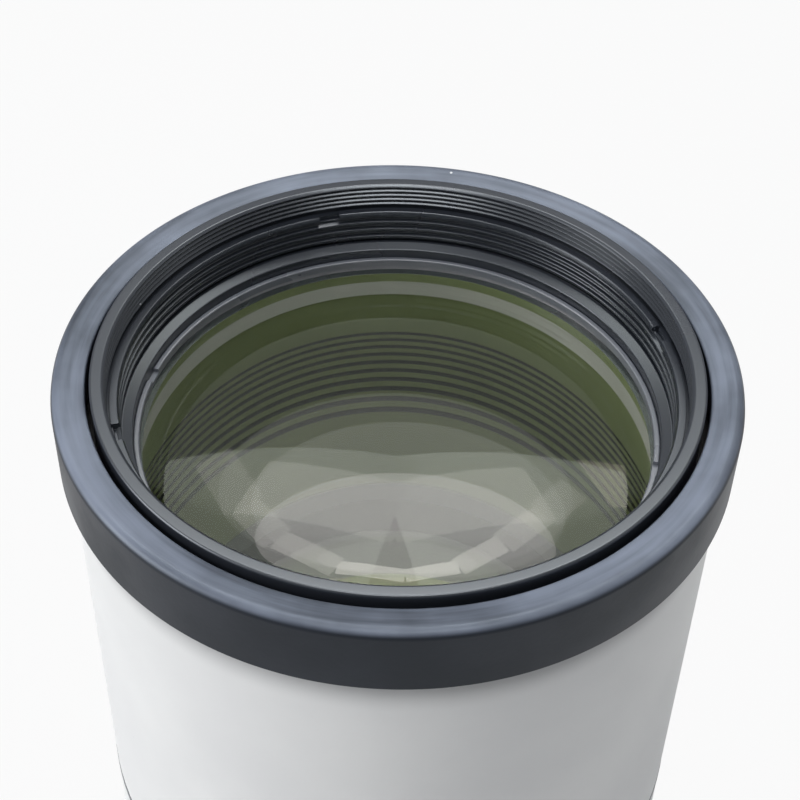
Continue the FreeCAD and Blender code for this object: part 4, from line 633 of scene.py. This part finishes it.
# %% [markdown]
# ## The grooved tube behind the front glass
#
# Light that strikes the inside of the tube at a shallow angle would wash out the
# picture, so ten fine grooves are turned into it. They show as dark rings through
# the glass. Deep grooves are dark because light gets lost in them. These are only
# half a millimetre deep, so their faces are given a dead black as painted shade, the
# shade that deeper grooves would hold.

# %% Grooved tube
FIRST_GROOVE = 210.9
GROOVE_PITCH = 1.3
GROOVE_COUNT = 10
HALF_GROOVE = 0.3
TUBE_WALL = 33.45
GROOVE_FLOOR = TUBE_WALL + 0.55
grooves = []
for number in reversed(range(GROOVE_COUNT)):
    middle = FIRST_GROOVE + GROOVE_PITCH * number
    grooves += [(TUBE_WALL, middle + HALF_GROOVE), (GROOVE_FLOOR, middle + HALF_GROOVE),
                (GROOVE_FLOOR, middle - HALF_GROOVE), (TUBE_WALL, middle - HALF_GROOVE)]
tube_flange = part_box("group_cell")[1].x / MM
spun("grooved_tube", "group_cell", [
    (31.55, 186.0), (tube_flange, 186.0), (tube_flange, 190.0), (35.0, 190.0), (35.0, 232.8),
    (TUBE_WALL, 232.8),
] + grooves + [(TUBE_WALL, 187.2), (31.55, 187.2)], bore_painted_haze,
    # dead black on the groove faces: painted shade
    zones=[(edge_black, (33.5, 34.2), (205, 230))])


# %% [markdown]
# ## Glass from arcs
#
# A lens surface is part of a large sphere. One vertex is spun round the centre of
# that sphere to draw the arc, and the two arcs of an element, joined at the edge,
# are spun round the optical axis. Cutting caps off two spheres would give the same
# glass with far more faces. The edge is ground, so it is a dull grey, and the two
# faces have their own coatings.

# %% Make one glass element
ARC_STEPS = 48
STEEPEST_FACE = 0.4


def glass_element(name, node, radius, front, rear, front_coat, rear_coat):
    """front and rear are (vertex height, bend); a negative bend is a hollow surface."""
    shape = bmesh.new()
    ends = []
    for (height, bend), side in ((front, 1), (rear, -1)):
        pole = shape.verts.new((0, 0, height * MM))
        centre = (0, 0, (height - side * bend) * MM)
        swing = side * math.asin(radius / bend)
        drawn = bmesh.ops.spin(shape, geom=[pole], cent=centre, axis=(0, 1, 0), dvec=(0, 0, 0),
                               angle=swing, steps=ARC_STEPS)
        ends.append(next(part for part in drawn["geom_last"]
                         if isinstance(part, bmesh.types.BMVert)))
    shape.edges.new(ends)
    spin_outline(shape, RING_STEPS)
    for face in shape.faces:
        upward = face.normal.z
        if abs(upward) < STEEPEST_FACE:
            face.material_index = 2
        else:
            face.material_index = 0 if upward > 0 else 1
    piece = finished(name, shape, [front_coat, rear_coat, ground_edge], node, "coated_glass")
    print(f"{name}: {len(piece.data.polygons)} faces")


glass_element("front_glass", "front_element", 35.25, (248.9, 130), (238.9, 400),
              outer_glass, inner_glass)
glass_element("second_glass", "element_2", 33.4, (206.3, 110), (191.66, 130),
              group_glass, inner_glass)
glass_element("third_glass", "element_3", 33.4, (191.64, -130), (189.06, -300),
              inner_glass, inner_glass)


# %% [markdown]
# ## Soft edges on the other pieces
#
# The remaining pieces have windows, notches, lugs and slots, so they can't be spun.
# A copy of the measured mesh is cleaned up instead: its loose triangles are joined,
# flat areas become single faces again, and a Bevel modifier rounds every sharp edge
# by the amount that its material has in reality, from 0.04 mm on a thin trim ring to
# half a millimetre on the cast collar. The bed under the switch panel is black, so
# that no white shows through the slots of the switches.

# %% Copy a measured piece and round its edges
# The hood tube takes the white with painted shade under the bumper
special_finishes = {"front_retainer": retainer_grey, "hood_tube": hood_white_shaded}
black_beds = {"main_barrel": "switch_panel"}
WELD_DISTANCE = 1e-6
FLAT_ANGLE = math.radians(0.6)
ROUNDING_STEPS = 2


def softened(node, width):
    """A measured piece with its edges rounded by a width in millimetres."""
    shape = bmesh.new()
    shape.from_mesh(nodes[node].data)
    bmesh.ops.remove_doubles(shape, verts=shape.verts[:], dist=WELD_DISTANCE)
    bmesh.ops.dissolve_limit(shape, angle_limit=FLAT_ANGLE, verts=shape.verts[:],
                             edges=shape.edges[:], use_dissolve_boundaries=False)
    materials = [special_finishes.get(node, nodes[node].material_slots[0].material)]
    if node in black_beds:
        materials.append(edge_black)
        low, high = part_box(black_beds[node])
        for face in shape.faces:
            middle = face.calc_center_median()
            if all(low[axis] < middle[axis] < high[axis] for axis in range(3)):
                face.material_index = 1
    piece = finished(f"{node}_soft", shape, materials, node)
    rounding = piece.modifiers.new("rounding", "BEVEL")
    rounding.width = width * MM
    rounding.segments = ROUNDING_STEPS
    rounding.limit_method = "ANGLE"
    rounding.angle_limit = SHARP_ANGLE
    rounding.use_clamp_overlap = True
    even_shading(piece)


edge_widths = {
    "front_baffle": 0.06, "front_retainer": 0.05, "hood_tube": 0.15, "hood_trim_ring": 0.04,
    "barrel_ring": 0.2, "focus_ring": 0.2, "focus_grip": 0.15, "main_barrel": 0.2,
    "rear_barrel": 0.2, "collar_base": 0.5, "collar_cap": 0.4, "collar_knob": 0.15,
    "switch_panel": 0.12, "focus_mode_switch": 0.2, "focus_range_switch": 0.2,
    "mount_plate": 0.12, "contact_block": 0.1, "rear_baffle": 0.1, "tripod_bush": 0.15,
}
for node, width in edge_widths.items():
    softened(node, width)
print(len(edge_widths), "pieces have soft edges")


# %% [markdown]
# ## Marks on the distance scale
#
# Behind its window the scale carries plain distances in metres. They could be painted
# on with an image, but strokes bent round the drum stay sharp at any size. The scale
# turns in proportion to one over the distance, so infinity is at the start of its
# travel and the near distances lie further and further apart.

# %% Strokes of the digits that are used
DIGITS = {
    "0": [[(0.3, 0), (0, 0.25), (0, 0.75), (0.3, 1), (0.7, 1), (1, 0.75), (1, 0.25), (0.7, 0),
           (0.3, 0)]],
    "1": [[(0.2, 0.8), (0.55, 1), (0.55, 0)]],
    "2": [[(0, 0.8), (0.25, 1), (0.75, 1), (1, 0.75), (0.9, 0.5), (0, 0), (1, 0)]],
    "4": [[(0.72, 0), (0.72, 1), (0, 0.28), (1, 0.28)]],
    "5": [[(0.9, 1), (0.15, 1), (0.1, 0.55), (0.6, 0.6), (1, 0.35), (0.75, 0), (0.3, 0),
           (0, 0.12)]],
    "7": [[(0, 1), (1, 1), (0.4, 0)]],
}
print("digits:", *DIGITS)


# %% [markdown]
# Each stroke is a row of thin bars, and each bar is a box that is sunk a little into
# the drum and stands out from it by 0.04 mm, about as much as paint. Its corners are
# placed by the angle that the distance round the drum gives.

# %% A stroke on the drum
drum_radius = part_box("distance_scale")[1].x / MM
LINE_WEIGHT = 0.36
SUNK, RAISED = 0.05, 0.04


def add_line(shape, points):
    """Bars on the drum along points given as (millimetres round the drum, height)."""
    for start, end in zip(points, points[1:]):
        start, end = Vector(start), Vector(end)
        along = (end - start).normalized() * LINE_WEIGHT / 2
        across = Vector((-along.y, along.x))
        corners = (start - along - across, end + along - across,
                   end + along + across, start - along + across)
        sunk, raised = ([shape.verts.new((radius * math.sin(round_drum / drum_radius) * MM,
                                          -radius * math.cos(round_drum / drum_radius) * MM,
                                          height * MM)) for round_drum, height in corners]
                        for radius in (drum_radius - SUNK, drum_radius + RAISED))
        shape.faces.new(sunk)
        shape.faces.new(raised)
        for side in range(4):
            shape.faces.new((sunk[side - 1], sunk[side], raised[side], raised[side - 1]))


print(f"the drum's radius is {drum_radius:.2f} mm")


# %% [markdown]
# The distances stand in a row round the drum, each with its own tick. The sign for
# infinity is a lemniscate, a curve like a lying eight, drawn in short strokes.

# %% Distances, infinity and ticks
NEAREST, NEAREST_ANGLE = 3.5, 60
DIGIT_WIDTH, DIGIT_HEIGHT, DIGIT_GAP, DIGIT_FOOT = 1.9, 3.2, 0.9, 100.9
TICK_FOOT, TICK_TOP = 105.6, 107.6
LOOP_WIDTH, LOOP_HEIGHT, LOOP_MIDDLE = 2.5, 2.9, 102.5
LOOP_STEP = 15
marks = bmesh.new()
for distance in (20, 10, 7, 5, 4):
    middle = -drum_radius * math.radians(NEAREST_ANGLE * NEAREST / distance)
    digits = str(distance)
    left = middle - (len(digits) * (DIGIT_WIDTH + DIGIT_GAP) - DIGIT_GAP) / 2
    for place, digit in enumerate(digits):
        start = left + place * (DIGIT_WIDTH + DIGIT_GAP)
        for line in DIGITS[digit]:
            add_line(marks, [(start + x * DIGIT_WIDTH, DIGIT_FOOT + y * DIGIT_HEIGHT)
                             for x, y in line])
    add_line(marks, [(middle, TICK_FOOT), (middle, TICK_TOP)])
infinity = []
for angle in range(0, 361, LOOP_STEP):
    turn = math.radians(angle)
    narrowing = 1 + math.sin(turn) ** 2
    infinity.append((LOOP_WIDTH * math.cos(turn) / narrowing,
                     LOOP_MIDDLE + LOOP_HEIGHT * math.sin(turn) * math.cos(turn) / narrowing))
add_line(marks, infinity)
add_line(marks, [(0, TICK_FOOT), (0, TICK_TOP)])
bmesh.ops.recalc_face_normals(marks, faces=marks.faces[:])
marks_mesh = bpy.data.meshes.new("scale_marks")
marks.to_mesh(marks_mesh)
marks.free()
marks_mesh.materials.append(scale_white)
scale_marks = bpy.data.objects.new("scale_marks", marks_mesh)
bpy.context.scene.collection.objects.link(scale_marks)
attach(scale_marks, nodes["distance_scale"]["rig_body"])
print("scale_marks:", len(marks_mesh.polygons), "faces")


# %% [markdown]
# ## Camera
#
# The camera stands in front of the lens and looks down on it at 43 degrees. The
# viewing distance is short, a little over twenty centimetres, so the far side of
# the rim is clearly smaller than the near side. Its turn is built from three
# directions, because a constraint that aims it would leave out the slight roll.

# %% Camera
FOCAL_LENGTH, SENSOR_WIDTH = 74.706, 36
CAMERA_PLACE = (0, -160.71, 401.23)
NEAREST_SEEN, FARTHEST_SEEN = 0.01, 20
camera_data = bpy.data.cameras.new("camera")
camera_data.sensor_width = SENSOR_WIDTH
camera_data.lens = FOCAL_LENGTH
camera_data.clip_start = NEAREST_SEEN
camera_data.clip_end = FARTHEST_SEEN
camera = bpy.data.objects.new("camera", camera_data)
bpy.context.scene.collection.objects.link(camera)
bpy.context.scene.camera = camera
pan, tilt, roll = (math.radians(angle) for angle in (0.0974, 43.407, 1.520))
forward = Vector((math.sin(pan) * math.cos(tilt), math.cos(pan) * math.cos(tilt), -math.sin(tilt)))
level = forward.cross(Vector((0, 0, 1))).normalized()
upright = level.cross(forward)
right = level * math.cos(roll) + upright * math.sin(roll)
up = upright * math.cos(roll) - level * math.sin(roll)
facing = Matrix((right, up, -forward)).transposed()
camera.matrix_world = Matrix.Translation(Vector(CAMERA_PLACE) * MM) @ facing.to_4x4()
print("camera at", [round(part, 3) for part in camera.matrix_world.translation], "metres")


# %% [markdown]
# ## A pale room
#
# The lens stands on a pale table in a white room. Both are near white to the camera,
# directly and through glass. Mirrors see only a share of that, or black rubber and
# coated glass would turn milky, and a ray that has met a matt surface sees none of
# it, so the whiteness costs the lens none of its colour. Light Path tells the shader
# which kind of ray is asking.

# %% Which rays see the white
def seen_directly(tree, mirrored):
    """1 for rays from the camera or through glass, and a share for rays off a mirror."""
    rays = add_node(tree, "ShaderNodeLightPath")
    mirror = sums(tree, "MULTIPLY", rays.outputs["Is Glossy Ray"], mirrored)
    looks = sums(tree, "MAXIMUM", rays.outputs["Is Camera Ray"], mirror)
    looks = sums(tree, "MAXIMUM", looks, rays.outputs["Is Transmission Ray"])
    unscattered = sums(tree, "LESS_THAN", rays.outputs["Diffuse Depth"], 0.5)
    return sums(tree, "MULTIPLY", looks, unscattered)


# %% [markdown]
# ## The table
#
# The table is one large flat face just under the lens. Its shader is a matt pale
# surface that still takes a soft shadow, mixed with a white glow for the rays that
# look at it directly. A glow alone would swallow the shadow.

# %% Floor
FLOOR_HALF_WIDTH = 3
FLOOR_GAP = 0.0002
FLOOR_ROUGHNESS = 0.9
FLOOR_GLOW = 0.88
FLOOR_IN_MIRRORS = 0.3


def make_floor_finish():
    material = bpy.data.materials.new("pale_table")
    material.use_nodes = True
    tree = material.node_tree
    shader = tree.nodes["Principled BSDF"]
    shader.inputs["Roughness"].default_value = FLOOR_ROUGHNESS
    patches = noise(tree, 3.0, 2)
    feed(tree, shader.inputs["Base Color"],
         blend_colours(tree, patches, screen_colour(184, 185, 187), screen_colour(180, 181, 183)))
    glow = add_node(tree, "ShaderNodeEmission")
    glow.inputs["Color"].default_value = (1.0, 1.0, 1.0, 1)
    mix = add_node(tree, "ShaderNodeMixShader")
    feed(tree, mix.inputs[0],
         sums(tree, "MULTIPLY", seen_directly(tree, FLOOR_IN_MIRRORS), FLOOR_GLOW))
    feed(tree, mix.inputs[1], shader.outputs["BSDF"])
    feed(tree, mix.inputs[2], glow.outputs["Emission"])
    feed(tree, tree.nodes["Material Output"].inputs["Surface"], mix.outputs["Shader"])
    return material


floor_shape = bmesh.new()
bmesh.ops.create_grid(floor_shape, x_segments=1, y_segments=1, size=FLOOR_HALF_WIDTH)
bmesh.ops.translate(floor_shape, verts=floor_shape.verts,
                    vec=(0, 0, measured_box[0].z - FLOOR_GAP))
floor_mesh = bpy.data.meshes.new("floor")
floor_shape.to_mesh(floor_mesh)
floor_shape.free()
floor = bpy.data.objects.new("floor", floor_mesh)
bpy.context.scene.collection.objects.link(floor)
floor_mesh.materials.append(make_floor_finish())
print(f"floor at {floor_mesh.vertices[0].co.z / MM:.1f} mm")


# %% [markdown]
# ## The room
#
# The room is the world's background. Where it isn't seen directly it still sends a
# little light from all sides, which keeps the shadows inside the lens from going
# fully black. The view transform is Standard, so that white stays white.

# %% Room
ROOM_IN_MIRRORS = 0.42
ROOM_LIGHT = 0.16
room = bpy.data.worlds.new("room")
bpy.context.scene.world = room
room.use_nodes = True
room_tree = room.node_tree
background = room_tree.nodes["Background"]
background.inputs["Color"].default_value = (0.97, 0.98, 1.0, 1)
feed(room_tree, background.inputs["Strength"],
     sums(room_tree, "MAXIMUM", seen_directly(room_tree, ROOM_IN_MIRRORS), ROOM_LIGHT))
bpy.context.scene.view_settings.view_transform = "Standard"
print("view transform:", bpy.context.scene.view_settings.view_transform)


# %% [markdown]
# ## Soft light
#
# Lamps are soft panels. The three that light the barrel stand round the lens: one in
# front, a strong one on the left that gives the white tube its bright side, and a
# weak one on the right that lifts the far edge. The others hang over the lens, and
# for those a middle line, a width and a brightness are easier to give than a size, a
# turn and a power, so a second helper works these out.

# %% Helpers for soft panels
def soft_panel(name, shape, size, power, place, target=(0, 0, 0.2)):
    data = bpy.data.lights.new(name, "AREA")
    data.shape = shape
    data.size, data.size_y = size
    data.energy = power
    lamp = bpy.data.objects.new(name, data)
    lamp.location = place
    lamp.rotation_mode = "QUATERNION"
    lamp.rotation_quaternion = (Vector(place) - Vector(target)).to_track_quat("Z", "Y")
    lamp.visible_transmission = False
    bpy.context.scene.collection.objects.link(lamp)
    return lamp


def ceiling_panel(name, start, end, width, glow, height, shape="RECTANGLE", colour=(1, 1, 1)):
    """A panel overhead, from one end of its middle line to the other; glow is its brightness."""
    start, end = Vector((*start, height)), Vector((*end, height))
    along = end - start
    area = along.length * width * (math.pi / 4 if shape == "ELLIPSE" else 1)
    middle = (start + end) / 2
    lamp = soft_panel(name, shape, (along.length, width), glow * math.pi * area, middle,
                      middle - Vector((0, 0, 1)))
    lamp.rotation_quaternion = Quaternion((0, 0, 1), math.atan2(along.y, along.x))
    lamp.data.color = colour


# %% [markdown]
# ## What the front glass mirrors
#
# The front glass mirrors what hangs above and behind the lens as a pale field over
# its lower half. The field has steps, so it is made of panels that overlap: a wide
# cloud with a brighter heart, large fields and narrow wings at both sides, and a
# curved bright edge of short strips. Coatings tint what they mirror, and they tint
# it differently from place to place, so the panels carry the tints. Their heights
# differ by a centimetre, so that small panels hang under large ones.

# %% Panels over the lens
ROSE = (1.0, 0.95, 0.97)
MAUVE = (0.97, 0.9, 1.0)
PALE_GREEN = (0.94, 1.0, 0.93)
WARM = (1.0, 0.96, 0.92)
ceiling_panel("cloud_wide", (-0.65, 0.90), (0.65, 0.90), 1.1, 0.8, 1.54, "ELLIPSE")
ceiling_panel("cloud_small", (-0.50, 0.75), (0.60, 0.75), 0.84, 1.0, 1.53, "ELLIPSE")
ceiling_panel("heart", (-0.46, 0.54), (0.54, 0.54), 0.53, 2.75, 1.51, "ELLIPSE", colour=ROSE)
ceiling_panel("mauve", (-0.24, 0.40), (0.26, 0.40), 0.13, 1.0, 1.50, "ELLIPSE", colour=MAUVE)
for side, name, glow in ((-1, "left", 1.7), (1, "right", 2.2)):
    ceiling_panel(f"field_{name}", (0, 0.59), (side * 1.0, 0.86), 0.62, glow, 1.52,
                  colour=PALE_GREEN)
    ceiling_panel(f"wing_{name}", (side * -0.04, 0.58), (side * 0.50, 0.80), 0.28, 1.9, 1.50,
                  colour=WARM)
bright_edge = [(-0.69, 1.05), (-0.51, 0.69), (-0.375, 0.50), (-0.176, 0.36), (0.035, 0.325),
               (0.20, 0.375), (0.346, 0.50), (0.50, 0.68), (0.64, 0.88)]
edge_glow = [1.2, 1.8, 3.0, 6.5, 6.5, 4.5, 2.6, 1.4]
edge_width = [0.15, 0.11, 0.08, 0.05, 0.05, 0.07, 0.09, 0.12]
for number, glow in enumerate(edge_glow):
    ceiling_panel(f"bright_edge_{number + 1}", bright_edge[number], bright_edge[number + 1],
                  edge_width[number], glow, 1.49, colour=WARM)
ceiling_panel("amber_edge", (-0.24, 0.30), (0.27, 0.30), 0.03, 1.9, 1.48,
              colour=(1.0, 0.82, 0.66))
ceiling_panel("warm_right", (0.72, 0.95), (1.05, 1.10), 0.26, 1.8, 1.47,
              colour=(1.0, 0.92, 0.75))
ceiling_panel("warm_left", (-1.26, 1.95), (-1.08, 1.45), 0.22, 0.9, 1.47,
              colour=(1.0, 0.85, 0.65))
print(len(bpy.data.lights), "panels over the lens")


# %% [markdown]
# ## What lights the barrel
#
# These three panels are the light that shapes the tube: bright at the left, grey
# over the middle and a little lighter again at the right. The numbers are a size in
# metres, a power in watts and a place. Each panel looks at the front of the lens.

# %% Panels round the lens
soft_panel("front_panel", "ELLIPSE", (0.9, 0.5), 9.5, (0.0, -0.42, 1.5))
soft_panel("left_panel", "RECTANGLE", (0.8, 1.0), 16.0, (-1.3, -0.3, 0.7))
soft_panel("right_panel", "RECTANGLE", (0.6, 1.2), 1.8, (1.4, 0.1, 0.7))
print(len(bpy.data.lights), "panels in all")
